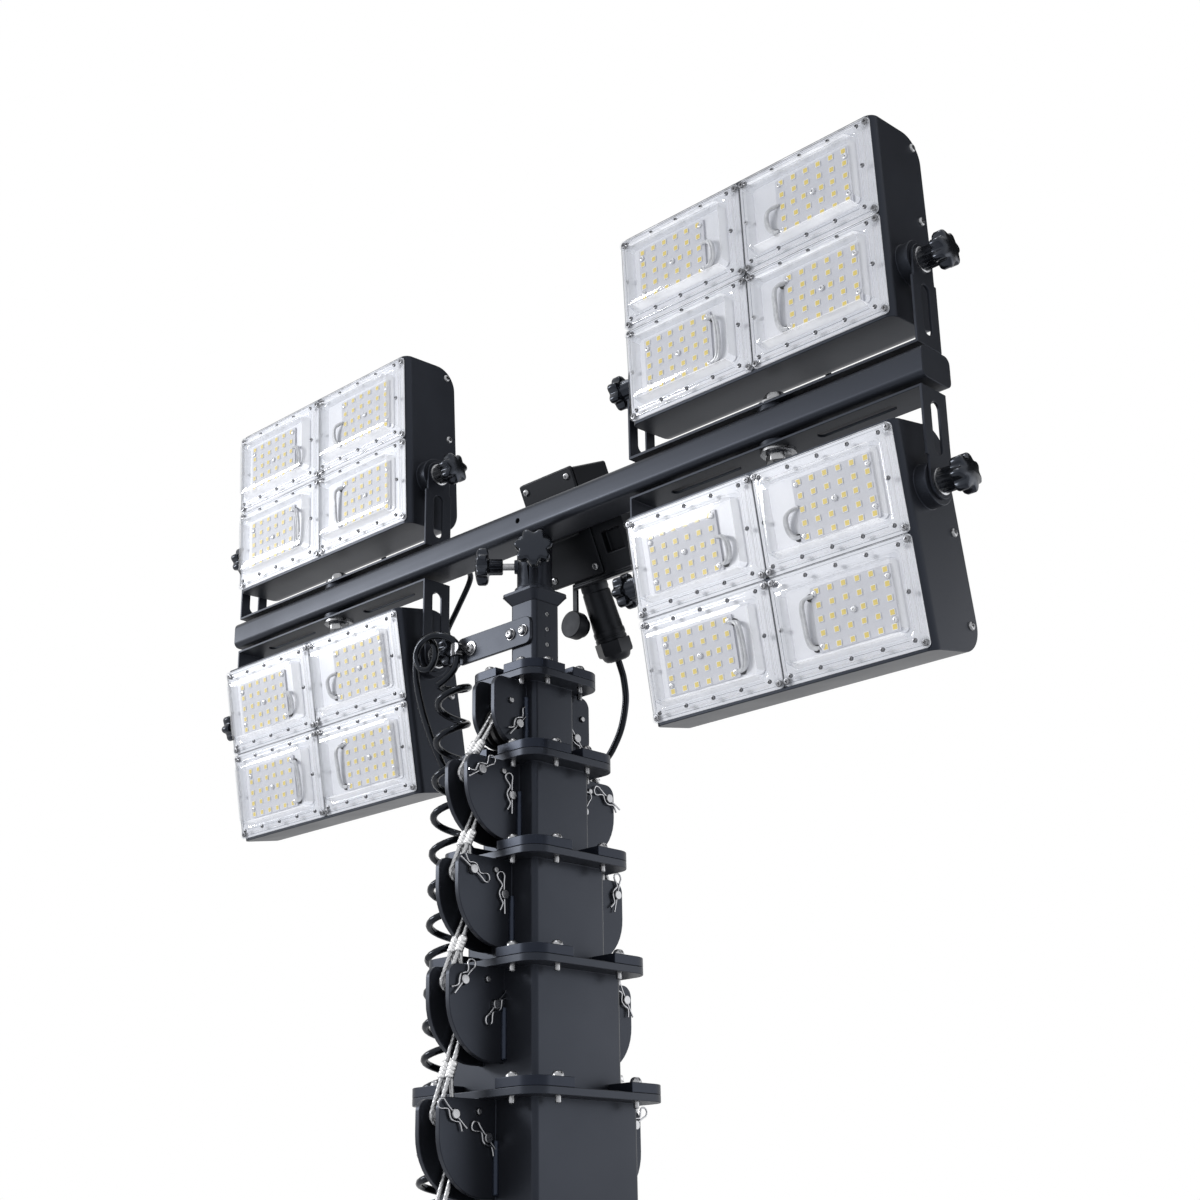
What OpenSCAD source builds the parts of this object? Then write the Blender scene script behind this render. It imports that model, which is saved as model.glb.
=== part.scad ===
// Telescopic light mast with four tilting LED floodlights.
// Seven square steel tubes slide in each other, +Z up; the origin is the middle of the foot's lower face.
// +X runs along the crossbar and the lamps face -Y.

/* [Mast] */
// Outer side of the smallest tube
inner_side = 40; // [36:1:46]
// How much wider each tube is than the one inside it
side_step = 21.5; // [20:0.5:26]
// Wall of the tubes
tube_wall = 4; // [3:0.5:5]
// Outer corner radius of the tubes
tube_round = 6; // [5:0.5:8]
// Height of the top of the lowest tube above the floor
base_height = 1500; // [1300:10:2000]
// Height of section 6's top above the top of the lowest tube, mast down
stand_6 = 140; // [135:1:160]
// Height of section 5's top above section 6's, mast down
stand_5 = 130; // [120:1:150]
// Height of section 4's top above section 5's, mast down
stand_4 = 113; // [105:1:140]
// Height of section 3's top above section 4's, mast down
stand_3 = 107; // [103:1:130]
// Height of section 2's top above section 3's, mast down
stand_2 = 94; // [94:1:120]
// Height of section 1's tube above section 2's top, mast down
stand_1 = 82; // [80:1:110]
// How far the tubes' lower ends stay above the floor, mast down
tube_foot_gap = 60; // [40:5:120]

/* [Collars] */
// How far a collar plate reaches past its tube on each side
collar_reach = 23; // [22:0.5:26]
// Thickness of a collar plate
collar_t = 8; // [6:0.5:10]
// Corner radius of the collar plates and guide blocks
collar_round = 22; // [12:1:24]
// Thickness of the guide blocks on a collar
guide_t = 10; // [8:0.5:14]
// Length of a guide block's arms along the collar's edges
guide_arm = 56; // [46:1:60]
// Running gap between a guide block and the tube that slides in it
guide_gap = 0.4; // [0.3:0.05:0.8]
// Diameter of the collar bolts' holes
collar_bolt_d = 6.6; // [5.5:0.1:7]

/* [Ears and sheaves] */
// Thickness of an ear plate
ear_t = 6; // [5:0.5:8]
// Clear width between the two ears of a pair
ear_gap = 24; // [22:0.5:28]
// How far the ears of sections 3 and larger stand out from the tube
ear_reach = 74; // [70:1:80]
// How far the ears of section 2 stand out from the tube
ear_reach_2 = 47; // [44:1:50]
// How much less the ears on the mast's back stand out
ear_back_short = 11; // [0:1:12]
// Height of an ear from the top of its section to its lower end
ear_drop = 112; // [108:1:114]
// Radius of the round lower corner of a large ear
ear_round = 60; // [50:1:62]
// Distance from a tube's face to its sheave's axis
sheave_out = 13; // [12.5:0.1:13.5]
// Depth of the sheave's axis below the top of its section
sheave_down = 55; // [54:0.5:60]
// Radius at which the rope's centre runs on a sheave
rope_radius = 20; // [19.5:0.1:20.5]
// Diameter of a wire rope
rope_d = 5; // [4:0.5:5]
// Distance between the two ropes of a sheave
rope_pitch = 11; // [9:0.5:12]
// Diameter of the sheave and anchor pins
pin_d = 10; // [8:0.5:11]
// Diameter of the keeper pins over the sheaves
keeper_d = 6; // [5:0.5:6]
// Distance from a tube's face to the anchor pin
anchor_out = 56; // [54:1:60]
// Depth of the anchor pin below the top of its section
anchor_down = 34; // [30:1:40]

/* [Foot] */
// Side of the square foot plate
foot_side = 280; // [240:5:340]
// Thickness of the foot plate
foot_t = 12; // [8:1:20]
// Distance between the foot plate's bolt holes
foot_pitch = 230; // [200:5:280]
// Diameter of the foot plate's bolt holes
foot_hole_d = 18; // [13:1:22]

/* [Head] */
// Height of the crossbar's middle above section 2's top, mast down
head_rise = 180; // [170:1:210]
// Length of the crossbar
bar_len = 1102; // [1092:2:1200]
// Depth of the crossbar, front to back
bar_d = 48; // [44:1:56]
// Height of the crossbar
bar_h = 34; // [24:1:40]
// Outer radius of the crossbar's long edges
bar_round = 8; // [4:0.5:10]
// Wall of the crossbar tube
bar_wall = 3; // [2:0.5:4]
// Outer radius of the sleeve over the spigot
sleeve_r = 20; // [19:0.5:24]
// Radius of the spigot
spigot_r = 16; // [14:0.5:17]
// Running gap between the spigot and the sleeve
spigot_gap = 0.08; // [0.03:0.01:0.1]

/* [Lamps] */
// Distance of the lamp brackets' middles from the mast's axis
lamp_x = 357; // [350:1:380]
// Height of the tilt axis above or below the crossbar's middle
pivot_rise = 118; // [115:1:135]
// Distance between a lamp's tilt axis and its middle
lamp_off = 47; // [40:1:55]
// Width of a lamp
lamp_w = 340; // [320:2:344]
// Height of a lamp
lamp_h = 218; // [200:2:240]
// Distance from the tilt axis to the front of the lens plates
lens_front = 40; // [32:0.5:44]
// Thickness of a lens plate's flange
lens_t = 3.5; // [3:0.5:6]
// Depth of the housing behind the lens plates
housing_d = 80; // [60:1:90]
// Radius of the housing's back edges
housing_round = 28; // [10:1:32]
// How far the housing reaches past the lenses on each side
housing_margin = 2.5; // [1:0.5:6]
// Thickness of the housing's sheet
housing_wall = 3; // [2:0.5:4]
// Thickness of the plate behind the lenses
board_t = 6; // [4:0.5:10]
// Tilt of the upper lamps towards the ground
tilt_up = 2.5; // [0:0.5:10]
// Tilt of the lower lamps towards the ground
tilt_low = 10; // [0:0.5:14]
// Thickness of the lamp brackets' strip
strip_t = 3; // [2.5:0.5:6]
// Depth of the lamp brackets' strip, front to back
bracket_d = 40; // [36:1:46]
// Outer width of a lamp bracket
bracket_w = 378; // [376:1:400]
// Radius of the round boss between a lamp and its bracket
boss_r = 22; // [18:0.5:24]

/* [Cords] */
// Diameter of the lead and of the curly cord's strand
cord_d = 8; // [7:0.5:9]
// Outer diameter of the curly cord's turns
coil_d = 42; // [36:1:44]
// Diameter of a lamp's lead
lamp_cord_d = 7; // [6:0.5:8]

/* [Hidden] */
$fn = 48;

paint = "#2b2c30";
steel = "silver";
rubber = "#17181a";

// Sections are numbered from the smallest tube, 1, to the lowest one, 7, the base.
BASE = 7;
stands = [0, stand_1, stand_2, stand_3, stand_4, stand_5, stand_6];
ear_down_gap = 3;
anchor_back_in = 4;

function side(n) = inner_side + side_step * (n - 1);
function top(n) = n == BASE ? base_height : top(n + 1) + stands[n];
function foot_of(n) = tube_foot_gap + 6 * (BASE - n);
function collar_half(n) = side(n) / 2 + collar_reach;
function plate_top(n) = top(n) - guide_t;
function reach(n, back) = (n == 2 ? ear_reach_2 : ear_reach) - back * ear_back_short;
function ear_end(n) = n == BASE ? ear_drop : min(ear_drop, stands[n] - ear_down_gap);
function ear_curve(n, back) = min(ear_round, reach(n, back) - 12);
// Section 2 is narrow, so its sheave sits lower than the others.
function sheave_low(n) = sheave_down + (n == 2 ? 13 : 0);
function sheave_y(n) = side(n) / 2 + sheave_out;
function sheave_z(n) = top(n) - sheave_low(n);
function anchor_from(back) = anchor_out - back * anchor_back_in;
function anchor_y(n, back) = side(n) / 2 + anchor_from(back);
function anchor_z(n) = top(n) - anchor_down;

sheave_r = rope_radius + rope_d / 2 + 0.5;
keeper_out = 10.5;
keeper_up = 24.5;
ear_x = (ear_gap + ear_t) / 2;
bolt_edge = 9;
// The collar bolts sit beside the ears; section 2 is too narrow for that, so there they sit outside them.
function bolt_in(n) = n == 2 ? 6 : 18;

bar_z = top(2) + head_rise;
tube_1_top = top(2) + stand_1;
cap_flare = 10;
cap_top = tube_1_top + cap_flare + 3;
sleeve_foot = cap_top + 0.3;

// ---- shared shapes ----

module rounded_square(w, d, r) {
    square([w - 2 * r, d], center = true);
    square([w, d - 2 * r], center = true);
    for (sx = [-1, 1], sy = [-1, 1])
        translate([sx * (w / 2 - r), sy * (d / 2 - r)]) circle(r);
}

module on_both_faces() {
    for (turn = [0, 180]) rotate([0, 0, turn]) children();
}

module along_x(length) {
    rotate([0, 90, 0]) translate([0, 0, -length / 2]) children();
}

// A round bar of the given length across the X axis, at (y, z).
module cross_pin(y, z, d, length) {
    translate([0, y, z]) along_x(length) cylinder(d = d, h = length);
}

// A lobed plastic knob whose axis is +Z, standing on the XY plane.
module star_knob(r, hub_r, hub_h, head_h) {
    lobes = 7;
    cylinder(r = hub_r, h = hub_h + 0.1);
    translate([0, 0, hub_h]) difference() {
        cylinder(r = r, h = head_h);
        for (k = [0 : lobes - 1])
            rotate([0, 0, 360 * k / lobes]) translate([r * 1.13, 0, -1])
                cylinder(r = r * 0.3, h = head_h + 2);
    }
}

// ---- sweeping a round cord along a smooth line ----

function unit(v) = v / norm(v);
function between(a, b, c, d, u) =
    0.5 * (2 * b + (c - a) * u + (2 * a - 5 * b + 4 * c - d) * u * u
    + (3 * b - a - 3 * c + d) * u * u * u);
function smooth(p, k) = [
    for (i = [0 : len(p) - 2], j = [0 : k - 1])
        between(p[max(i - 1, 0)], p[i], p[i + 1], p[min(i + 2, len(p) - 1)], j / k),
    p[len(p) - 1]
];
function heading(p, i) = unit(p[min(i + 1, len(p) - 1)] - p[max(i - 1, 0)]);
function square_to(v, t) = unit(v - t * (v * t));
function carried(p, i, v) =
    i == len(p) ? [] : let (n = square_to(v, heading(p, i))) concat([n], carried(p, i + 1, n));

module sweep(p, d, sides) {
    side_way = carried(p, 0, [0.9, 0.31, 0.2]);
    rings = [
        for (i = [0 : len(p) - 1])
            let (n = side_way[i], b = cross(heading(p, i), n))
                for (k = [0 : sides - 1])
                    p[i] + d / 2 * (n * cos(360 * k / sides) + b * sin(360 * k / sides))
    ];
    last = (len(p) - 1) * sides;
    walls = [
        for (i = [0 : len(p) - 2], k = [0 : sides - 1])
            let (a = i * sides + k, b = i * sides + (k + 1) % sides)
                [a, a + sides, b + sides, b]
    ];
    ends = [[for (k = [0 : sides - 1]) k], [for (k = [sides - 1 : -1 : 0]) last + k]];
    polyhedron(rings, concat(walls, ends), convexity = 6);
}

// ---- foot ----

module foot() {
    color(paint) difference() {
        linear_extrude(foot_t) rounded_square(foot_side, foot_side, 16);
        for (sx = [-1, 1], sy = [-1, 1])
            translate([sx * foot_pitch / 2, sy * foot_pitch / 2, -1])
                cylinder(d = foot_hole_d, h = foot_t + 2);
    }
}

// ---- mast sections ----

module at_collar_bolts(n) {
    out = collar_half(n) - bolt_edge;
    in = side(n) / 2 - bolt_in(n);
    for (turn = [0 : 90 : 270]) rotate([0, 0, turn]) {
        translate([out, in]) children();
        translate([in, out]) children();
    }
}

// One ear plate's outline, out from the tube's face along +Y and up along +Z.
module ear_outline(n, back) {
    r = ear_curve(n, back);
    far = reach(n, back);
    low = -ear_end(n);
    high = -guide_t - collar_t;
    corner = 12;
    square_low = low + r;
    difference() {
        union() {
            translate([-0.5, square_low]) square([far + 0.5, high - corner - square_low]);
            translate([-0.5, low]) square([far - r + 0.5, high - low]);
            translate([0, high - corner - 0.1]) square([far - corner, corner + 0.1]);
            translate([far - corner, high - corner]) circle(corner);
            intersection() {
                translate([far - r, square_low]) circle(r, $fn = 96);
                translate([far - r - 1, low]) square([r + 1, r + 1]);
            }
        }
        translate([sheave_out, -sheave_low(n)]) circle(d = pin_d + 0.3);
        translate([sheave_out + keeper_out, keeper_up - sheave_low(n)])
            circle(d = keeper_d + 0.3);
        if (n > 2) translate([anchor_from(back), -anchor_down]) circle(d = pin_d + 0.3);
    }
}

module ears(n) {
    for (back = [0, 1], s = [-1, 1]) rotate([0, 0, 180 * (1 - back)])
        translate([s * ear_x - ear_t / 2, side(n) / 2, top(n)])
            rotate([90, 0, 90]) linear_extrude(ear_t) ear_outline(n, back);
}

// The base's ears only carry the anchor pins, so they have no sheave window.
module section_tube(n) {
    s = side(n);
    bottom = n == BASE ? foot_t : foot_of(n);
    window = 2 * sheave_r + 3;
    color(paint) difference() {
        union() {
            translate([0, 0, bottom]) linear_extrude(plate_top(n) - bottom)
                rounded_square(s, s, tube_round);
            translate([0, 0, plate_top(n) - collar_t]) linear_extrude(collar_t)
                rounded_square(2 * collar_half(n), 2 * collar_half(n), collar_round);
            ears(n);
        }
        translate([0, 0, bottom - 1]) linear_extrude(top(n) - bottom)
            rounded_square(s - 2 * tube_wall, s - 2 * tube_wall, tube_round - tube_wall + 1);
        if (n < BASE) on_both_faces()
            translate([-ear_gap / 2, s / 2 - tube_wall - 1, sheave_z(n) - window / 2])
                cube([ear_gap, tube_wall + 1.01, window]);
        translate([0, 0, plate_top(n) - collar_t - 1]) at_collar_bolts(n)
            cylinder(d = collar_bolt_d, h = collar_t + 2);
    }
}

module guide_blocks(n) {
    half = collar_half(n);
    arm = min(guide_arm, half - 6);
    color("#232427") translate([0, 0, plate_top(n)]) difference() {
        linear_extrude(guide_t) difference() {
            rounded_square(2 * half, 2 * half, collar_round);
            square([2 * (half - arm), 3 * half], center = true);
            square([3 * half, 2 * (half - arm)], center = true);
            square(side(n - 1) + 2 * guide_gap, center = true);
        }
        translate([0, 0, -1]) at_collar_bolts(n) cylinder(d = collar_bolt_d, h = guide_t + 2);
    }
}

// A double-grooved rope wheel around +X at its own middle.
module sheave() {
    width = ear_gap - 2;
    groove = rope_radius - rope_d / 2;
    rotate([0, 90, 0]) rotate_extrude($fn = 64) difference() {
        translate([pin_d / 2 + 0.05, -width / 2]) square([sheave_r - pin_d / 2 - 0.05, width]);
        for (s = [-1, 1]) {
            translate([rope_radius, s * rope_pitch / 2]) circle(d = rope_d + 1, $fn = 24);
            translate([rope_radius, s * rope_pitch / 2 - rope_d / 2 - 0.5])
                square([sheave_r - groove, rope_d + 1]);
        }
    }
}

module sheaves(n) {
    color(rubber) on_both_faces() translate([0, sheave_y(n), sheave_z(n)]) sheave();
}

module pins(n) {
    over_ears = ear_gap + 2 * ear_t + 10;
    color(steel) for (back = [0, 1]) rotate([0, 0, 180 * (1 - back)]) {
        if (n < BASE) {
            cross_pin(sheave_y(n), sheave_z(n), pin_d, over_ears);
            cross_pin(sheave_y(n) + keeper_out, sheave_z(n) + keeper_up, keeper_d, over_ears - 4);
        }
        if (n > 2) cross_pin(anchor_y(n, back), anchor_z(n), pin_d, over_ears);
    }
}

// ---- ropes ----

// A stage's ropes are held by the anchor pin on section n + 1. They run up over section n's sheave
// and down inside section n to the lower end of section n - 1.
eye_r = pin_d / 2 + rope_d / 2 + 0.4;

function on_circle(c, r, a) = [c[0] + r * cos(a), c[1] + r * sin(a)];

// The rope's line, as distances out from and up from the sheave's axis.
function rope_line(n, back) =
    let (
        pin = [anchor_y(n + 1, back) - sheave_y(n), anchor_z(n + 1) - sheave_z(n)],
        // The straight run touches the pin's circle and the sheave's on their outer sides.
        lean = atan2(-pin[1], -pin[0]) - acos((eye_r - rope_radius) / norm(pin))
    )
    concat(
        [for (k = [-6 : 0]) on_circle(pin, eye_r, lean + 30 * k)],
        [for (k = [0 : 10]) on_circle([0, 0], rope_radius, lean + (180 - lean) * k / 10)],
        [[-rope_radius, foot_of(n - 1) + 30 - sheave_z(n)]]
    );

module rope_run(n, back) {
    for (s = [-1, 1])
        sweep(
            [
                for (p = rope_line(n, back))
                    [s * rope_pitch / 2, sheave_y(n) + p[0], sheave_z(n) + p[1]]
            ],
            rope_d, 8);
}

module rope(n) {
    color(steel) for (back = [0, 1]) rotate([0, 0, 180 * (1 - back)]) rope_run(n, back);
}

// ---- section 1 and its cable arm ----

arm_t = 4;
arm_h = 32;
arm_right = 17;
arm_left = -104;
arm_z = bar_z - 133.5;
clip_x = -96;
screw_x = 10;

module section_1_tube() {
    s = inner_side;
    color(paint) difference() {
        translate([0, 0, foot_of(1)]) linear_extrude(tube_1_top - foot_of(1))
            rounded_square(s, s, tube_round);
        translate([0, 0, foot_of(1) - 1]) linear_extrude(tube_1_top)
            rounded_square(s - 2 * tube_wall, s - 2 * tube_wall, tube_round - tube_wall + 1);
        for (k = [0 : 3]) translate([0, 0, top(2) + 14 + 18 * k]) rotate([0, 90, 0])
            cylinder(d = 5, h = s);
    }
}

module spigot_cap() {
    s = inner_side;
    flare = 1.38;
    color(paint) {
        translate([0, 0, tube_1_top]) linear_extrude(cap_flare, scale = flare)
            rounded_square(s, s, tube_round);
        translate([0, 0, tube_1_top + cap_flare]) linear_extrude(3)
            rounded_square(s * flare, s * flare, tube_round * flare);
        translate([0, 0, cap_top - 1]) cylinder(r = spigot_r, h = bar_z - bar_h / 2 - 2 - cap_top + 1);
        translate([0, 0, tube_1_top - 25]) linear_extrude(26)
            rounded_square(s - 2 * tube_wall - 0.4, s - 2 * tube_wall - 0.4, 2.5);
    }
}

module cable_arm() {
    face = -inner_side / 2;
    color(paint) difference() {
        translate([(arm_left + arm_right) / 2, face, arm_z]) rotate([90, 0, 0])
            linear_extrude(arm_t) rounded_square(arm_right - arm_left, arm_h, 8);
        for (s = [-1, 1]) translate([s * screw_x - 4, face + 1, arm_z]) rotate([90, 0, 0])
            cylinder(d = 6.4, h = arm_t + 2);
    }
    color(steel) for (s = [-1, 1])
        translate([s * screw_x - 4, face - arm_t + 0.001, arm_z]) rotate([90, 0, 0])
            cylinder(d = 11, h = 4);
}

module cable_clip() {
    y = -inner_side / 2 - arm_t;
    ring = cord_d + 6;
    color(steel) {
        translate([clip_x, y - ring / 2, arm_z - 6]) difference() {
            cylinder(d = ring, h = 12);
            translate([0, 0, -1]) cylinder(d = cord_d + 2, h = 14);
        }
        translate([clip_x + ring / 2, y - ring / 2 - 4, arm_z - 4]) cube([14, 7, 8]);
    }
}

// ---- head ----

knob_out = 36;
knob_z = bar_z - 50;

module at_head_knobs() {
    for (turn = [-45, -135]) translate([0, 0, knob_z]) rotate([0, 0, turn]) rotate([0, 90, 0])
        children();
}

module head_sleeve() {
    bottom = sleeve_foot;
    top_z = bar_z - bar_h / 2;
    color(paint) difference() {
        union() {
            translate([0, 0, bottom]) cylinder(r = sleeve_r, h = top_z - bottom);
            translate([0, 0, bottom]) cylinder(r = sleeve_r + 3, h = 6);
            at_head_knobs() cylinder(d = 16, h = sleeve_r + 3);
        }
        translate([0, 0, bottom - 1]) cylinder(r = spigot_r + spigot_gap, h = top_z - bottom);
        at_head_knobs() cylinder(d = 8.6, h = sleeve_r + 4);
    }
}

module head_knobs() {
    at_head_knobs() {
        color(steel) translate([0, 0, spigot_r + 0.3]) cylinder(d = 8, h = knob_out - spigot_r);
        color(rubber) translate([0, 0, knob_out]) star_knob(19, 9, 16, 14);
    }
}

module crossbar() {
    color(paint) difference() {
        translate([-bar_len / 2, 0, bar_z]) rotate([90, 0, 90])
            linear_extrude(bar_len) rounded_square(bar_d, bar_h, bar_round);
        translate([bar_wall - bar_len / 2, 0, bar_z]) rotate([90, 0, 90])
            linear_extrude(bar_len - 2 * bar_wall)
                rounded_square(bar_d - 2 * bar_wall, bar_h - 2 * bar_wall, bar_round - bar_wall);
        translate([-3, 0, bar_z + 1]) rotate([90, 0, 0]) cylinder(d = 6, h = bar_d);
        for (s = [-1, 1]) translate([s * lamp_x, 0, bar_z - bar_h])
            cylinder(d = 14.5, h = 2 * bar_h);
    }
}

// The junction box hangs behind the bar, leaning forward at its top.
box_lean = 25;
box_w = 84;
box_l = 128;
box_d = 66;
socket_d = 40;
box_x = 10.5;
box_low = -76;
// The box's frame stays at this height over the bar's middle, whatever the bar's own height.
box_up = 12;
box_face = 2.4;
housing_low = -84;
pad_h = 9;
plug_x = 17;
plug_in = 15;

module box_frame() {
    translate([0, bar_d / 2 + 0.5, bar_z + box_up]) rotate([box_lean, 0, 0]) children();
}

module junction_box() {
    // How far the box's face is from the bar's back, at a height over the bar's middle.
    gap = function(z) 0.5 + box_face / cos(box_lean) + (box_up - z) * tan(box_lean);
    color(rubber) {
        box_frame() translate([box_x, box_face, box_low]) rotate([-90, 0, 0])
            mirror([0, 1, 0]) translate([0, box_l / 2, 0]) {
                linear_extrude(4) rounded_square(box_w, box_l, 3);
                translate([0, 0, 3.9]) linear_extrude(box_d - 3.9)
                    rounded_square(box_w - 2, box_l - 2, 3);
            }
        translate([box_x - 25, bar_d / 2, bar_z]) rotate([90, 0, 90]) linear_extrude(50)
            polygon([[0, -pad_h], [0, pad_h], [gap(pad_h), pad_h], [gap(-pad_h), -pad_h]]);
    }
}

module socket_housing() {
    right = box_x + box_w / 2;
    plate_from = plug_x - 18;
    color(rubber) box_frame() {
        difference() {
            translate([right, box_face + 2, housing_low + 4]) cube([48, socket_d - 4, 60]);
            translate([right + 12, box_face + 1, housing_low + 28]) cube([28, 10, 24]);
        }
        translate([plate_from, box_face, housing_low]) cube([right + 50 - plate_from, socket_d, 4]);
        translate([plate_from + 1, box_face + 4, housing_low + 3.9]) cube([51, socket_d - 8, 4.1]);
    }
}

module lead_plug() {
    color(rubber) box_frame() translate([plug_x, box_face + plug_in + 3, housing_low])
        mirror([0, 0, 1]) {
            cylinder(r1 = 16, r2 = 17.5, h = 56);
            translate([0, 0, 55.9]) cylinder(r = 18.5, h = 12.1);
            translate([0, 0, 67.9]) cylinder(r = 20, h = 18.1, $fn = 6);
            translate([0, 0, 85.9]) cylinder(r1 = 17, r2 = 12, h = 7.1);
        }
}

cap_x = -6;
cap_y = 72;
cap_z = bar_z - 102;

module socket_cap() {
    color(rubber) {
        translate([cap_x, cap_y - 9, cap_z]) rotate([-90, 0, 0]) {
            cylinder(r = 16, h = 14);
            translate([0, 0, 13]) cylinder(r = 12, h = 8);
        }
        translate([cap_x - 4, cap_y - 1.5, cap_z + 14]) cube([8, 3, 37.5]);
    }
}

// ---- lamp brackets ----

leg_step = 73;
neck_w = 34;
base_slot_l = 94;
base_slot_w = 10;
leg_slot_w = 14;
spacer_t = 5;
bracket_bolt_d = 14;

// The strip is bent into a U that stands on the bar's top; up is +1 for the upper lamps, -1 below.
module bracket(x, up) {
    low = bar_h / 2 + spacer_t;
    leg = pivot_rise - low;
    turn = up > 0 ? 0 : 180;
    color(paint) translate([x, 0, bar_z]) rotate([turn, 0, 0]) translate([0, 0, low]) {
        difference() {
            translate([-bracket_w / 2, -bracket_d / 2, 0]) cube([bracket_w, bracket_d, strip_t]);
            for (s = [-1, 1]) translate([s * 98, 0, -1]) linear_extrude(strip_t + 2)
                rounded_square(base_slot_l, base_slot_w, base_slot_w / 2 - 0.01);
            translate([0, 0, -1]) cylinder(d = bracket_bolt_d + 0.5, h = strip_t + 2);
        }
        for (s = [-1, 1]) translate([s * (bracket_w - strip_t) / 2 - strip_t / 2, 0, 0])
            rotate([90, 0, 90]) linear_extrude(strip_t) difference() {
                union() {
                    translate([-bracket_d / 2, 0]) square([bracket_d, leg_step]);
                    translate([-neck_w / 2, 0]) square([neck_w, leg]);
                    translate([0, leg]) circle(d = neck_w);
                }
                translate([0, 41]) rotate(90) rounded_square(55, leg_slot_w, leg_slot_w / 2 - 0.01);
                translate([0, leg]) circle(d = 10.5);
            }
    }
    // A spacer disc stands between the bar and the strip.
    color(paint) translate([x, 0, bar_z]) rotate([turn, 0, 0]) translate([0, 0, bar_h / 2])
        difference() {
            cylinder(d = 38, h = spacer_t);
            translate([0, 0, -1]) cylinder(d = bracket_bolt_d + 0.5, h = spacer_t + 2);
        }
    // The lower bracket carries the bolt's head and the upper one its nut.
    color(steel) translate([x, 0, bar_z]) rotate([turn, 0, 0])
        translate([0, 0, low + strip_t - 0.001]) {
            cylinder(d = 36, h = 3);
            translate([0, 0, 2.9]) cylinder(d = 22, h = 9, $fn = 6);
            if (up < 0) translate([0, 0, 0.05 - 2 * (low + strip_t)])
                cylinder(d = bracket_bolt_d, h = 2 * (low + strip_t) + 1);
        }
}

module tilt_knobs() {
    for (sx = [-1, 1], up = [-1, 1], s = [-1, 1])
        translate([sx * lamp_x, 0, bar_z + up * pivot_rise]) rotate([0, s * 90, 0])
            translate([0, 0, bracket_w / 2 + 0.3]) {
                color(rubber) star_knob(19, 11, 18, 15);
                color(steel) translate([0, 0, -strip_t - 3]) cylinder(d = 10, h = strip_t + 3.1);
            }
}

// ---- lamps ----

module at_lamp(sx, up) {
    tilt = up > 0 ? tilt_up : tilt_low;
    translate([sx * lamp_x, 0, bar_z + up * pivot_rise]) rotate([tilt, 0, 0])
        translate([0, 0, up * lamp_off]) children();
}

lens_gap = 1;
back_y = lens_t - lens_front + housing_d;
// Where a lamp's lead goes in, from the middle of its bracket and from its tilt axis.
lead_x = 11;
lead_low = 22;
gland_h = 10;

// A housing seen from its side, with its front edge at the given depth.
module housing_shape(front, back, h, r) {
    translate([front, -h / 2]) square([back - r - front, h]);
    translate([front, r - h / 2]) square([back - front, h - 2 * r]);
    for (s = [-1, 1]) translate([back - r, s * (h / 2 - r)]) circle(r);
}

corner_bend = 10;

// The housing's side profile meets its plan, whose front corners are bent round.
module housing_body(inset) {
    w = lamp_w + 2 * (housing_margin - inset);
    bend = corner_bend - inset;
    low = lens_t - lens_front + (inset > 0 ? board_t : 0);
    high = back_y - inset;
    h = lamp_h + 2 * (housing_margin - inset);
    intersection() {
        translate([-w / 2, 0, 0]) rotate([90, 0, 90]) linear_extrude(w)
            housing_shape(low, high, h, housing_round - inset);
        translate([0, 0, -h / 2]) linear_extrude(h) {
            translate([-w / 2, low + bend]) square([w, high - low - bend]);
            translate([bend - w / 2, low]) square([w - 2 * bend, high - low]);
            for (s = [-1, 1]) translate([s * (w / 2 - bend), low + bend]) circle(bend);
        }
    }
}

module lamp_housing(sx, up) {
    side_x = lamp_w / 2 + housing_margin;
    boss_l = bracket_w / 2 - strip_t - side_x - 0.3;
    color(paint) at_lamp(sx, up) {
        difference() {
            union() {
                housing_body(0);
                translate([sx * lead_x, back_y - 1, -up * (lamp_off + lead_low)])
                    rotate([-90, 0, 0]) cylinder(d = 20, h = gland_h + 1, $fn = 6);
            }
            housing_body(housing_wall);
            translate([sx * lead_x, back_y - housing_wall - 1, -up * (lamp_off + lead_low)])
                rotate([-90, 0, 0]) cylinder(d = lamp_cord_d + 1, h = gland_h + housing_wall + 2);
        }
        for (s = [-1, 1]) translate([s * side_x, 0, -up * lamp_off]) rotate([0, s * 90, 0])
            difference() {
                translate([0, 0, -1]) cylinder(r = boss_r, h = boss_l + 1);
                translate([0, 0, boss_l - 6]) cylinder(d = 10.6, h = 7);
            }
    }
}

dome_w = 134;
dome_h = 72;
dome_rise = 15;
lens_wall = 2.5;
rim_rise = 3;
rim_out = 7;

// A clear lens: a flange, a raised rim that carries the small screws, a groove and the tall dome.
module lens(w, h) {
    rim_w = w - 2 * rim_out;
    rim_h = h - 2 * rim_out;
    groove_w = dome_w + 7;
    groove_h = dome_h + 7;
    difference() {
        union() {
            linear_extrude(lens_t) rounded_square(w, h, 4);
            translate([0, 0, lens_t - 0.01]) linear_extrude(rim_rise) difference() {
                rounded_square(rim_w, rim_h, 9);
                rounded_square(groove_w, groove_h, 7);
            }
            translate([0, 0, lens_t - 0.01]) linear_extrude(dome_rise)
                rounded_square(dome_w, dome_h, 5);
        }
        translate([0, 0, -1]) linear_extrude(lens_t + dome_rise + 1 - lens_wall)
            rounded_square(dome_w - 2 * lens_wall, dome_h - 2 * lens_wall, 3);
    }
}

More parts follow.
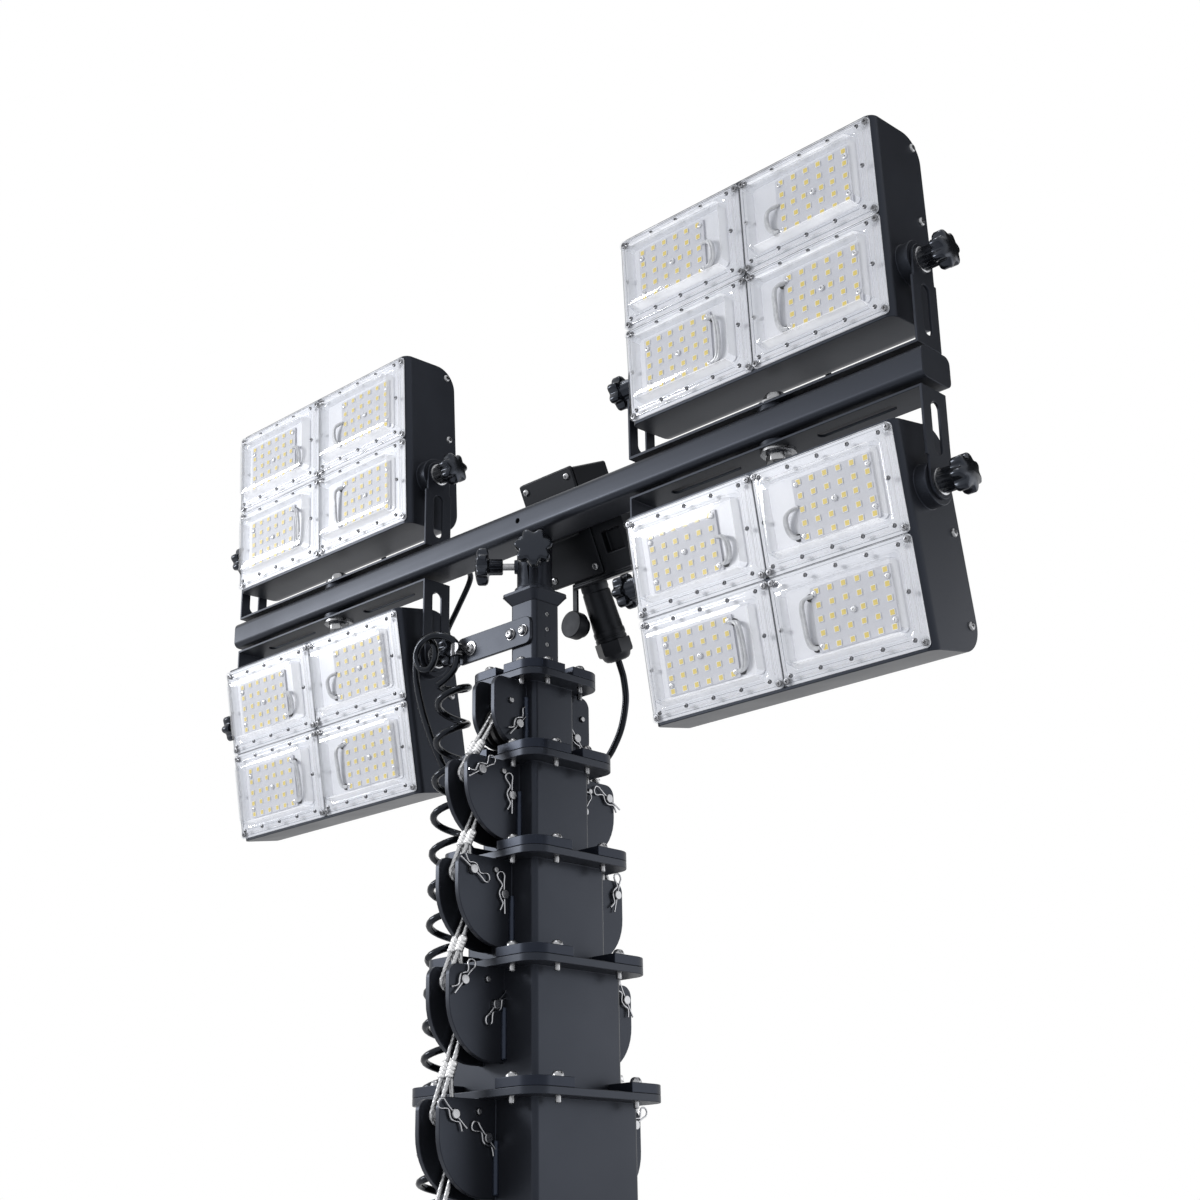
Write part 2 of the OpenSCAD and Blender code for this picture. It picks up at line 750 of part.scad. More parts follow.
module lamp_lenses(sx, up) {
    w = lamp_w / 2 - lens_gap;
    h = lamp_h / 2 - lens_gap;
    color("#dfe5ea", 0.5) at_lamp(sx, up) for (ix = [-1, 1], iz = [-1, 1])
        translate([ix * lamp_w / 4, lens_t - lens_front, iz * lamp_h / 4]) rotate([90, 0, 0])
            lens(w, h);
}

// ---- cords ----

// The lead leaves the plug, hangs in a loop behind the mast and comes up on its left to the clip.
lead_route = [
    [17, 117.9, -140.1], [17, 122.1, -149.1], [17, 126.3, -161], [16.3, 129.5, -184.5],
    [8, 131.5, -212], [-5, 133, -232], [-22, 134, -248], [-52, 131, -268],
    [-80, 120, -286], [-103, 100, -294],
    [-119, 73, -298], [-127, 42, -297], [-129, 14, -289], [-134, -8, -270], [-143, -18, -244],
    [-154, -24, -212], [-163, -28, -178], [-168, -31, -144], [-166, -34, -114], [-155, -36, -95],
    [-138, -36, -86], [-120, -35, -90], [-106, -33, -103], [-98, -31, -120], [-96, -31, -138],
    [-96, -31, -160], [-96, -31, -184.4]
];
coil_top = bar_z - 185;
coil_foot = 240;
coil_x = -134;
coil_y = -20;
coil_route = [
    [-96, -31, coil_top], [coil_x, coil_y, base_height + 12], [coil_x, coil_y, 420],
    [coil_x, coil_y, coil_foot]
];
tail_z = 150;

module lead() {
    color(rubber) sweep(smooth([for (p = lead_route) p + [0, 0, bar_z]], 2), cord_d, 10);
}

module curly_cord() {
    tail = [
        [coil_x, coil_y, coil_foot - 21.3], [coil_x, coil_y, 200], [coil_x + 3, coil_y, 176],
        [coil_x + 12, coil_y, 158], [coil_x + 24, coil_y, tail_z],
        [-side(BASE) / 2 - 12.3, coil_y, tail_z]
    ];
    color(rubber) {
        sweep(coil_route, coil_d, 12);
        sweep(smooth(tail, 3), cord_d, 10);
    }
}

// The curly cord stands on a shelf on the lowest tube and its tail goes in through a gland.
module cord_shelf() {
    face = -side(BASE) / 2;
    color(paint) {
        difference() {
            translate([coil_x - 24, coil_y - 25, coil_foot - 5]) cube([face - coil_x + 24, 50, 5]);
            translate([coil_x, coil_y, coil_foot - 6]) cylinder(d = 12.5, h = 7);
        }
        translate([face - 5, coil_y - 25, coil_foot - 60]) cube([5, 50, 55.1]);
    }
    color(rubber) {
        difference() {
            translate([coil_x, coil_y, coil_foot - 21]) cylinder(d = 24, h = 16, $fn = 6);
            translate([coil_x, coil_y, coil_foot - 22]) cylinder(d = cord_d + 2, h = 18);
        }
        translate([face, coil_y, tail_z]) rotate([0, -90, 0]) cylinder(d = 22, h = 12, $fn = 6);
    }
}

// A point behind a lamp, given as distances back and up from its tilt axis.
function behind_lamp(up, y, z) =
    let (tilt = up > 0 ? tilt_up : tilt_low)
        [lead_x, y * cos(tilt) - z * sin(tilt), up * pivot_rise + y * sin(tilt) + z * cos(tilt)];

// The upper lamps' leads leave the bar near their bracket; the lower ones come from nearer the mast.
upper_lead = [[-14, 24.2, 0], [-14, 38, 1], [-12, 54, 8], [-2, 74, 24], [7, 88, 46], [11, 90, 68]];
lower_lead = [
    [-206, 24.2, -3], [-205.8, 34, -3.2], [-197, 45, -11], [-170, 50, -38], [-142, 58, -58],
    [-110, 72, -78], [-70, 86, -98], [-32, 98, -114], [-6, 106, -118]
];

module lamp_lead(sx, up) {
    low = -lead_low * up;
    route = concat(
        up > 0 ? upper_lead : lower_lead,
        [for (y = [24, 14, 4]) behind_lamp(up, back_y + y, low)]
    );
    color(rubber) sweep(
        smooth([for (p = route) [sx * (lamp_x + p[0]), p[1], bar_z + p[2]]], 3), lamp_cord_d, 8);
}

foot();
section_tube(7);  // base_tube
guide_blocks(7);  // base_guides
pins(7);  // base_pins
section_tube(6);  // section_6_tube
guide_blocks(6);  // section_6_guides
sheaves(6);  // section_6_sheaves
pins(6);  // section_6_pins
section_tube(5);  // section_5_tube
guide_blocks(5);  // section_5_guides
sheaves(5);  // section_5_sheaves
pins(5);  // section_5_pins
section_tube(4);  // section_4_tube
guide_blocks(4);  // section_4_guides
sheaves(4);  // section_4_sheaves
pins(4);  // section_4_pins
section_tube(3);  // section_3_tube
guide_blocks(3);  // section_3_guides
sheaves(3);  // section_3_sheaves
pins(3);  // section_3_pins
section_tube(2);  // section_2_tube
guide_blocks(2);  // section_2_guides
sheaves(2);  // section_2_sheaves
pins(2);  // section_2_pins
section_1_tube();
spigot_cap();
cable_arm();
cable_clip();
head_sleeve();
head_knobs();
crossbar();
junction_box();
socket_housing();
lead_plug();
socket_cap();
bracket(-lamp_x, 1);  // bracket_upper_left
bracket(lamp_x, 1);  // bracket_upper_right
bracket(-lamp_x, -1);  // bracket_lower_left
bracket(lamp_x, -1);  // bracket_lower_right
tilt_knobs();
lamp_housing(-1, 1);  // lamp_upper_left_housing
lamp_lenses(-1, 1);  // lamp_upper_left_lenses
lamp_housing(1, 1);  // lamp_upper_right_housing
lamp_lenses(1, 1);  // lamp_upper_right_lenses
lamp_housing(-1, -1);  // lamp_lower_left_housing
lamp_lenses(-1, -1);  // lamp_lower_left_lenses
lamp_housing(1, -1);  // lamp_lower_right_housing
lamp_lenses(1, -1);  // lamp_lower_right_lenses
rope(6);  // rope_6
rope(5);  // rope_5
rope(4);  // rope_4
rope(3);  // rope_3
rope(2);  // rope_2
lead();
curly_cord();
cord_shelf();
lamp_lead(-1, 1);  // lamp_lead_upper_left
lamp_lead(1, 1);  // lamp_lead_upper_right
lamp_lead(-1, -1);  // lamp_lead_lower_left
lamp_lead(1, -1);  // lamp_lead_lower_right
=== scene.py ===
import math

import bmesh
import bpy
from mathutils import Matrix, Vector


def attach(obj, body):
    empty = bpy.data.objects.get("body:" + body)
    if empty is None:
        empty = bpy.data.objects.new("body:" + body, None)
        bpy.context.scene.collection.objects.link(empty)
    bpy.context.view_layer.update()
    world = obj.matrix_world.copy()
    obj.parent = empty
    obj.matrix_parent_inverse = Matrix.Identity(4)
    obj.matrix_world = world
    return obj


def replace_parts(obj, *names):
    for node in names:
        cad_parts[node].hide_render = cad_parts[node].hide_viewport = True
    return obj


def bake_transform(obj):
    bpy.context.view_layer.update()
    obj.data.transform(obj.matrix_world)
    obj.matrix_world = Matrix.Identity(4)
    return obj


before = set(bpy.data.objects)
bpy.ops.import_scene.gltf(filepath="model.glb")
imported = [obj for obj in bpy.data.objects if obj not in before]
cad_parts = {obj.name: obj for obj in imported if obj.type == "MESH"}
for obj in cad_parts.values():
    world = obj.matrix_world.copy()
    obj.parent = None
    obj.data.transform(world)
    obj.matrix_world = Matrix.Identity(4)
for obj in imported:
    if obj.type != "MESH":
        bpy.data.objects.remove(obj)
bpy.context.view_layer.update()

# ---- Foot plate, tubes, collars and ears ----
# Square steel tubes with welded collar plates and ear plates, cut by laser and bent.
# They are powder coated in a satin black, so broad faces show a soft sheen and a fine grain.
MM = 0.001


def linear(colour):
    levels = [int(colour[i : i + 2], 16) / 255 for i in (1, 3, 5)]
    return [v / 12.92 if v <= 0.04045 else ((v + 0.055) / 1.055) ** 2.4 for v in levels] + [1.0]


def settle(tree, node, settings={}, links={}):
    """Gives a node its values and links what flows into it."""
    for name, value in settings.items():
        if isinstance(name, int) or name in node.inputs:
            node.inputs[name].default_value = value
        else:
            setattr(node, name, value)
    for name, source in links.items():
        tree.links.new(source, node.inputs[name])
    return node


def add(tree, kind, settings={}, links={}):
    return settle(tree, tree.nodes.new("ShaderNode" + kind), settings, links)


def new_material(name):
    """A material, with its tree, its shader and the object's own coordinates."""
    made = bpy.data.materials.new(name)
    made.use_nodes = True
    tree = made.node_tree
    place = add(tree, "TexCoord").outputs["Object"]
    return made, tree, tree.nodes["Principled BSDF"], place


def noise(tree, place, scale, detail=2.0, **more):
    given = {"Scale": scale, "Detail": detail, **more}
    return add(tree, "TexNoise", given, {"Vector": place}).outputs[0]


def shade(tree, source, dark, pale):
    """A colour between two, as a texture says."""
    given = {"data_type": "RGBA", 6: linear(dark), 7: linear(pale)}
    return add(tree, "Mix", given, {0: source}).outputs[2]


def spread(tree, source, low, high, start=0.0, end=1.0):
    """A texture's values from start to end, spread from low to high."""
    given = {"From Min": start, "From Max": end, "To Min": low, "To Max": high}
    return add(tree, "MapRange", given, {"Value": source}).outputs[0]


def relief(tree, source, strength, distance):
    """Bumps as a texture says, their height given in metres."""
    return add(tree, "Bump", {"Strength": strength, "Distance": distance}, {"Height": source}).outputs[0]


powder_coat, tree, shader, place = new_material("satin_black_powder_coat")
# The coat's orange peel is about 0.5 mm across; it is drawn at about 1 mm so that it shows.
grain = noise(tree, place, 1100.0)
cloud = noise(tree, place, 7.0, 4.0, Roughness=0.6)
colour = shade(tree, cloud, "#1a1b1f", "#222429")
sheen = spread(tree, cloud, 0.33, 0.43, 0.3, 0.7)
peel = relief(tree, grain, 0.22, 0.00012)
settle(tree, shader, {"Specular IOR Level": 0.42, "Specular Tint": linear("#cfdcf7")},
       {"Base Color": colour, "Roughness": sheen, "Normal": peel})


def coat(names, finish, edge=0.8):
    """Gives nodes their finish and breaks their sharp edges by a small radius."""
    for name in names:
        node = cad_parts[name]
        mesh = node.data
        mesh.materials.clear()
        mesh.materials.append(finish)
        mesh.polygons.foreach_set("material_index", [0] * len(mesh.polygons))
        if "custom_normal" in mesh.attributes:
            mesh.attributes.remove(mesh.attributes["custom_normal"])
        mesh.shade_smooth()
        weld = node.modifiers.new("weld", "WELD")
        weld.merge_threshold = 0.00001
        flat = node.modifiers.new("flat", "DECIMATE")
        flat.decimate_type = "DISSOLVE"
        flat.angle_limit = math.radians(0.5)
        broken = node.modifiers.new("edge", "BEVEL")
        broken.width = edge * MM
        broken.segments = 2
        broken.limit_method = "ANGLE"
        broken.angle_limit = math.radians(35)
        broken.use_clamp_overlap = False
        broken.harden_normals = True


# The base counts as section 7. Section 1, the smallest, carries no collar.
SECTIONS = (7, 6, 5, 4, 3, 2)
TOP = {7: 1500, 6: 1640, 5: 1770, 4: 1883, 3: 1990, 2: 2084}
BODY = {7: "base", **{n: f"section_{n}" for n in range(1, 7)}}


def side(n):
    """The outer width of a section's square tube."""
    return 40 + 21.5 * (n - 1)


def node_of(n, what):
    return f"{BODY[n]}_{what}"


coat(["foot", "section_1_tube"] + [node_of(n, "tube") for n in SECTIONS], powder_coat)
coat(["spigot_cap"], powder_coat, 0.1)

# ---- Weld beads ----
# The ear plates are joined to the tubes by fillet welds, rippled where each drop has set.
# They lie under the same powder coat, which runs smoother and glossier over them.


def loft(rings, loop=False):
    """A skin over rings of points, closed by end faces or into a loop."""
    n, many = len(rings[0]), len(rings)
    points = [Vector(p) for one in rings for p in one]
    faces = [
        (i * n + k, i * n + (k + 1) % n, (i + 1) % many * n + (k + 1) % n, (i + 1) % many * n + k)
        for i in range(many if loop else many - 1)
        for k in range(n)
    ]
    if not loop:
        faces += [tuple(reversed(range(n))), tuple(range((many - 1) * n, many * n))]
    return points, faces


def moved(shape, place):
    """A shape, its points and faces, put in a place."""
    return [place @ p for p in shape[0]], shape[1]


def at(x, y, z, axis="X", turn=0):
    """A place, and a turn about one axis in degrees."""
    return Matrix.Translation((x, y, z)) @ Matrix.Rotation(math.radians(turn), 4, axis)


def run(path, width, sides=12, loop=False, twist=0.0, lobe=None, swell=None):
    """A round bar along a path, with lobes across it or swellings along it."""
    path = [Vector(p) for p in path]
    last, across, gone, rings = len(path) - 1, Vector((0.9, 0.31, 0.2)), 0.0, []
    for i, p in enumerate(path):
        before = path[i - 1] if loop or i else path[0]
        after = path[(i + 1) % len(path)] if loop else path[min(i + 1, last)]
        ahead = (after - before).normalized()
        across = (across - ahead * across.dot(ahead)).normalized()
        other = ahead.cross(across)
        gone += (p - path[i - 1]).length if i else 0.0
        r = width / 2 * (swell(gone) if swell else 1)
        ring = []
        for k in range(sides):
            a = math.tau * k / sides
            w = r * (lobe(a) if lobe else 1)
            a += twist * gone
            ring.append(p + w * (across * math.cos(a) + other * math.sin(a)))
        rings.append(ring)
    return loft(rings, loop)


def piece(name, shapes, finish, body=None, sharp=35):
    """One mesh from shapes in millimetres, riding on a body."""
    points, faces = [], []
    for some, skin in shapes:
        faces += [tuple(len(points) + i for i in face) for face in skin]
        points += [p * MM for p in some]
    mesh = bpy.data.meshes.new(name)
    mesh.from_pydata(points, [], faces)
    work = bmesh.new()
    work.from_mesh(mesh)
    bmesh.ops.recalc_face_normals(work, faces=work.faces)
    work.to_mesh(mesh)
    work.free()
    mesh.shade_smooth()
    mesh.set_sharp_from_angle(angle=math.radians(sharp))
    mesh.materials.append(finish)
    made = bpy.data.objects.new(name, mesh)
    bpy.context.scene.collection.objects.link(made)
    if body:
        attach(made, body)
    return made


# How far each section's ears reach down from its top, and half the distance between two beads.
EAR_END = {7: 112, 6: 112, 5: 112, 4: 110, 3: 104, 2: 91}
BEAD_X = 19


def rippled(gone):
    """How a bead swells along its way, with ripples 3 mm apart and a tapered start."""
    return 1 + 0.09 * math.sin(2.1 * gone) - 0.9 * (gone < 0.5)


weld_coat, tree, shader, place = new_material("glossy_black_coat_over_weld")
cloud = noise(tree, place, 160.0, 3.0)
colour = shade(tree, cloud, "#191c23", "#272b36")
wave = relief(tree, cloud, 0.35, 0.0004)
settle(tree, shader, {"Roughness": 0.26, "Specular Tint": linear("#c3d4f7")},
       {"Base Color": colour, "Normal": wave})

for n in SECTIONS:
    beads = []
    for s in (-1, 1):
        for back in (-1, 1):
            low = TOP[n] - EAR_END[n] + 2
            path = [(s * BEAD_X, back * (side(n) / 2 + 1), low + 1.6 * k) for k in range(34)]
            beads.append(run(path, 7.4, 10, swell=rippled))
    piece(f"{BODY[n]}_welds", beads, weld_coat, BODY[n], 60)

# ---- Guide blocks and their bolts ----
# Each collar carries four black nylon corner blocks in which the next tube slides.
# They are machined from sheet and held by button head bolts, whose ends show under the collar.
nylon, tree, shader, place = new_material("machined_black_nylon")
# The milling cutter leaves marks about 0.8 mm apart.
cutter = {"Scale": 260.0, "Distortion": 1.5, "Detail": 2.0, "bands_direction": "DIAGONAL"}
marks = add(tree, "TexWave", cutter, {"Vector": place})
cloud = noise(tree, place, 60.0, 4.0)
colour = shade(tree, cloud, "#12141a", "#1a1c23")
groove = relief(tree, marks.outputs[1], 0.12, 0.0001)
settle(tree, shader, {"Roughness": 0.36, "Specular IOR Level": 0.35, "Specular Tint": linear("#c3d4f7")},
       {"Base Color": colour, "Normal": groove})
coat([node_of(n, "guides") for n in SECTIONS], nylon, 0.6)

zinc, tree, shader, place = new_material("bright_zinc_plated_steel")
spangle = noise(tree, place, 420.0, 3.0)
colour = shade(tree, spangle, "#8d8e91", "#b2b3b6")
dull = spread(tree, spangle, 0.2, 0.36)
pits = relief(tree, spangle, 0.1, 0.0001)
settle(tree, shader, {"Metallic": 1.0}, {"Base Color": colour, "Roughness": dull, "Normal": pits})


def ring(radius, z, sides=24, lobe=None):
    turns = [math.tau * k / sides for k in range(sides)]
    reach = [radius * (lobe(a) if lobe else 1) for a in turns]
    return [(r * math.cos(a), r * math.sin(a), z) for r, a in zip(reach, turns)]


def lathe(profile, sides=24, lobe=None):
    """A turned shape from the radii and heights of its outline."""
    return loft([ring(r, z, sides, lobe) for r, z in profile])


def hexagon(a):
    """How much further than its flats a hexagon reaches in a direction."""
    return 1 / math.cos((a + math.pi / 6) % (math.pi / 3) - math.pi / 6)


def button_head(r, h):
    """A low round bolt head with a hexagon socket."""
    outline = ((1, -0.2), (1, 0.25 * h), (0.88, 0.62 * h), (0.66, 0.9 * h), (0.45, h))
    dome = [ring(w * r, z) for w, z in outline]
    return loft(dome + [ring(0.32 * r, h, 24, hexagon), ring(0.3 * r, 0.4 * h, 24, hexagon)])


for n in SECTIONS:
    out, near = side(n) / 2 + 14, side(n) / 2 - (6 if n == 2 else 18)
    bolts = []
    for turn in (0, 90, 180, 270):
        for x, y in ((out, near), (near, out)):
            spot = Matrix.Rotation(math.radians(turn), 4, "Z") @ at(x, y, TOP[n])
            bolts.append(moved(button_head(6.2, 6), spot))
            bolts.append(moved(lathe([(2.2, -25), (3, -24.2), (3, -2)]), spot))
    piece(f"{BODY[n]}_guide_bolts", bolts, zinc, BODY[n])

# ---- Sheaves, pins and their clips ----
# Double-grooved nylon rope wheels turn on zinc plated pins through the ears.
# Each pin is kept by an R clip of 2 mm spring wire through its end.
sheave_nylon, tree, shader, place = new_material("turned_black_nylon")
cloud = noise(tree, place, 90.0, 4.0)
colour = shade(tree, cloud, "#151618", "#212225")
rub = spread(tree, cloud, 0.25, 0.5)
settle(tree, shader, {}, {"Base Color": colour, "Roughness": rub})
coat([node_of(n, "sheaves") for n in SECTIONS if n < 7], sheave_nylon, 0.3)
coat([node_of(n, "pins") for n in SECTIONS], zinc, 0.9)

spring_wire, tree, shader, place = new_material("polished_spring_wire")
drawn = noise(tree, place, 900.0)
line = relief(tree, drawn, 0.08, 0.0001)
settle(tree, shader, {"Base Color": linear("#b4b5b9"), "Metallic": 1.0, "Roughness": 0.2}, {"Normal": line})


def smooth_line(points, steps):
    """A line through points, eased between them."""
    points = [Vector(p) for p in points]
    last, line = len(points) - 1, []
    for i in range(last):
        a, b, c, d = points[max(i - 1, 0)], points[i], points[i + 1], points[min(i + 2, last)]
        bow, swing = 2 * a - 5 * b + 4 * c - d, 3 * b - a - 3 * c + d
        for j in range(steps):
            u = j / steps
            line.append(0.5 * (2 * b + (c - a) * u + bow * u * u + swing * u**3))
    return line + [points[last]]


# A clip's wire from its straight leg round the loop to its waved one, and its distance along the pin.
CLIP = [(-20, 0), (-10, 0), (0, 0), (10, 0), (15, -0.4), (19.5, -1), (23, 1.6), (23.2, 5.6), (20, 8.6), (16, 7.6),
        (12.5, 4.2), (9, 2.5), (5.5, 4.6), (2.5, 6.3), (-1, 6.8), (-5, 5), (-8.5, 2.5), (-12, 3.4), (-17, 6.6)]
CLIP_X = 20.7
# The way in which each clip's loop points in degrees, for the front and the back ears.
SHEAVE_CLIPS = {2: (45, 130), 3: (90, 60), 4: (92, 140), 5: (228, 75), 6: (135, 40)}
ANCHOR_CLIPS = {3: (30, 150), 4: (-32, 75), 5: (48, 120), 6: (140, 35), 7: (60, 100)}


def sheave_pin(n):
    """How far out and how high a section's sheave pins sit."""
    return side(n) / 2 + 13, TOP[n] - (68 if n == 2 else 55)


def anchor_pin(n, back):
    """The same for the pins that hold the ropes of the next smaller section."""
    return side(n) / 2 + (52 if back else 56), TOP[n] - 34


def spring_clip(back, pin, degrees):
    """A clip on the end of a pin of the front or the back ears."""
    (y, z), turn = pin, math.radians(degrees)
    line = [
        (CLIP_X - 0.012 * v * v * (u > 0), (2 * back - 1) * y + u * math.cos(turn) - v * math.sin(turn),
         z + u * math.sin(turn) + v * math.cos(turn))
        for u, v in CLIP
    ]
    return run(smooth_line(line, 3), 2, 8)


for n in SECTIONS:
    clips = []
    if n in SHEAVE_CLIPS:
        clips += [spring_clip(back, sheave_pin(n), SHEAVE_CLIPS[n][back]) for back in (0, 1)]
    if n in ANCHOR_CLIPS:
        clips += [spring_clip(back, anchor_pin(n, back), ANCHOR_CLIPS[n][back]) for back in (0, 1)]
    piece(f"{BODY[n]}_clips", clips, spring_wire, BODY[n], 60)

# ---- Hoisting ropes ----
# Pairs of 5 mm galvanised wire ropes, each of six strands laid round a core.
# An eye with a thimble and a pressed ferrule holds each on its anchor pin.
strand, tree, shader, place = new_material("galvanised_wire_rope")
# Single wires are 0.3 mm, so they are drawn at about 0.8 mm.
wires = noise(tree, place, 1300.0)
colour = shade(tree, wires, "#6a6b6f", "#dddee0")
wire_relief = relief(tree, wires, 0.5, 0.0003)
settle(tree, shader, {"Metallic": 1.0, "Roughness": 0.38}, {"Base Color": colour, "Normal": wire_relief})
pressed, tree, shader, place = new_material("pressed_aluminium")
cloud = noise(tree, place, 300.0, 3.0)
colour = shade(tree, cloud, "#cfd0d2", "#ededee")
settle(tree, shader, {"Metallic": 1.0, "Roughness": 0.4}, {"Base Color": colour})


def strands(a):
    """A rope's outline, with six strands around it."""
    return 0.86 + 0.14 * abs(math.cos(3 * a))


def divided(path, step):
    """The same path with points no further apart than a step."""
    path, line = [Vector(p) for p in path], []
    for a, b in zip(path, path[1:]):
        many = max(1, math.ceil((b - a).length / step))
        line += [a + (b - a) * k / many for k in range(many)]
    return line + [path[-1]]


def facing(ahead):
    """The turn that points a shape's own axis ahead."""
    return Vector(ahead).to_track_quat("Z", "Y").to_matrix().to_4x4()


def hoop(profile):
    """A closed ring from the radii and heights of its outline."""
    turns = [math.tau * k / 24 for k in range(24)]
    return loft([[Vector((r * math.cos(t), r * math.sin(t), z)) for r, z in profile] for t in turns], True)


def tube_foot(n):
    """The height of a tube's lower end above the ground."""
    return 60 + 6 * (7 - n)


# The radii on which a rope's middle bends in its eye and over its wheel, and its strands' twist per mm.
EYE, WHEEL, LAY = 7.9, 20.0, math.tau / 34
FERRULE = [(0, -9), (3.6, -9), (4.6, -8), (4.6, -6), (4.0, -5.2), (4.6, -4.2), (4.6, -2), (4.0, -1.2),
           (4.6, -0.2), (4.6, 2), (4.0, 2.8), (4.6, 3.8), (4.6, 8), (3.6, 9), (0, 9)]
THIMBLE = [(5.2, -3.2), (7.2, -3.4), (5.9, 0), (7.2, 3.4), (5.2, 3.2)]
for n in (6, 5, 4, 3, 2):
    outer, wrap, inner, hold, rings = [], [], [], [], []
    for back in (0, 1):
        face = 2 * back - 1
        (wheel_y, wheel_z), (pin_y, pin_z) = sheave_pin(n), anchor_pin(n + 1, back)
        py, pz = pin_y - wheel_y, pin_z - wheel_z
        lean = math.atan2(-pz, -py) - math.acos((EYE - WHEEL) / math.hypot(py, pz))
        round_pin = [lean + math.radians(15 * k) for k in range(-12, 1)]
        eye = [(py + EYE * math.cos(a), pz + EYE * math.sin(a)) for a in round_pin]
        over_wheel = [lean + (math.pi - lean) * k / 24 for k in range(25)]
        bend = [(WHEEL * math.cos(a), WHEEL * math.sin(a)) for a in over_wheel]
        first, touch = Vector(eye[-1]), Vector(bend[0])
        grip = first + (touch - first) * 0.36
        way = (touch - first).normalized()
        tail = [eye[0], Vector(eye[0]) + 8 * way, grip - 9 * way + 3 * Vector((-way.y, way.x)), grip - 3 * way]
        foot = tube_foot(n - 1) + 30 - wheel_z
        for s in (-5.5, 5.5):
            def line(flat):
                return [(s * -face, face * (wheel_y + y), wheel_z + z) for y, z in flat]
            outer.append(run(divided(line(eye + [touch]), 2.6), 5, 24, twist=LAY, lobe=strands))
            hold.append(run(divided(line(tail), 2.6), 5, 18, twist=LAY, lobe=strands))
            wrap.append(run(divided(line(bend), 2.6), 5, 24, twist=LAY, lobe=strands))
            inner.append(run(line([bend[-1], (-WHEEL, foot)]), 5, 12))
            a, b, c = [Vector(p) for p in line([grip, first, touch])]
            rings.append(moved(lathe(FERRULE), Matrix.Translation(a) @ facing(c - b)))
            rings.append(moved(hoop(THIMBLE), at(*line([(py, pz)])[0], "Y", 90)))
    held = BODY[n + 1]
    piece(f"rope_{n}_ferrules", rings, pressed, held, 50)
    piece(f"rope_{n}_eyes", hold, strand, held, 60)
    over = piece(f"rope_{n}_over_wheel", wrap, strand, BODY[n], 60)
    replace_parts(over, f"rope_{n}")
    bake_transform(piece(f"rope_{n}_outer", outer, strand, None, 60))
    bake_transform(piece(f"rope_{n}_inner", inner, strand, None, 60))

# ---- Cable arm and hose clip ----
# A bent steel arm on the smallest tube, held by two cross-recessed screws with washers.
# At its end a worm drive hose clip of stainless band grips the lead.

# The heights of the middles of the crossbar and of the arm.
BAR = 2264
ARM = BAR - 133.5
coat(["cable_arm"], powder_coat)


def cross(length, width, z, sides=24):
    """The outline of a screw's cross recess."""
    turns = [math.tau * k / sides for k in range(sides)]
    folded = [min(a % (math.pi / 2), math.pi / 2 - a % (math.pi / 2)) for a in turns]
    reach = [min(length / math.cos(b), width / max(math.sin(b), 1e-6)) for b in folded]
    return [(r * math.cos(a), r * math.sin(a), z) for r, a in zip(reach, turns)]


def pan_head(d, h):
    """A domed screw head with a cross recess."""
    outline = ((0.5, -0.3), (0.5, 0.3 * h), (0.46, 0.65 * h), (0.37, 0.9 * h), (0.27, h))
    dome = [ring(w * d, z) for w, z in outline]
    return loft(dome + [cross(0.23 * d, 0.06 * d, h), cross(0.18 * d, 0.04 * d, 0.35 * h)])


screws = []
for s in (-1, 1):
    spot = at(s * 10 - 4, -24, ARM, "X", 90)
    washer = lathe([(6.8, -0.2), (6.8, 0.9), (6.4, 1.2), (3, 1.2)])
    screws += [moved(washer, spot), moved(pan_head(12, 4.6), spot)]
spot = at(-80, -24, ARM, "X", 90)
washer = lathe([(8.6, -0.2), (8.6, 1), (8.2, 1.3), (3, 1.3)])
screws += [moved(washer, spot), moved(pan_head(11, 4.4), spot)]
piece("cable_arm_screws", screws, zinc, "section_1")
sunk = lathe([(2.6, -3), (2.6, -0.6), (2.2, -0.2), (1.2, -0.2), (1, -1.4)], 16)
plugs = [moved(sunk, at(20, 0, TOP[2] + 14 + 18 * k, "Y", 90)) for k in range(4)]
piece("tube_hole_screws", plugs, zinc, "section_1")

stainless, tree, shader, place = new_material("rolled_stainless_band")
rolled = noise(tree, place, 500.0)
dull = spread(tree, rolled, 0.18, 0.34)
settle(tree, shader, {"Base Color": linear("#66676a"), "Metallic": 1.0}, {"Roughness": dull})
band_edge = [(4.6, -7), (6.9, -7), (7.1, -6.4), (7.1, 6.4), (6.9, 7), (4.6, 7)]
band = lathe(band_edge, 96, lambda a: 1 - 0.04 * (1 + math.cos(24 * a)))
half_turn = [math.pi * (k / 12 - 0.5) for k in range(13)]
shell = loft([[Vector((6.2 + w * math.cos(t), y, 5.6 * math.sin(t))) for t in half_turn]
              for y, w in ((-9, 5.6), (-8.5, 6.4), (5.5, 6.4), (6, 5.6))])
worm = lathe([(3.4, 0), (3.4, 1), (4.2, 1.2), (4.2, 5), (3.6, 5.6), (0.1, 5.6)], 24, hexagon)
worm = moved(worm, at(9.2, 5.6, 0, "X", -90))
grip_place = at(-96, -31, ARM)
clip = [moved(shape, grip_place) for shape in (band, shell, worm)]
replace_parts(piece("cord_hose_clip", clip, stainless, "section_1"), "cable_clip")

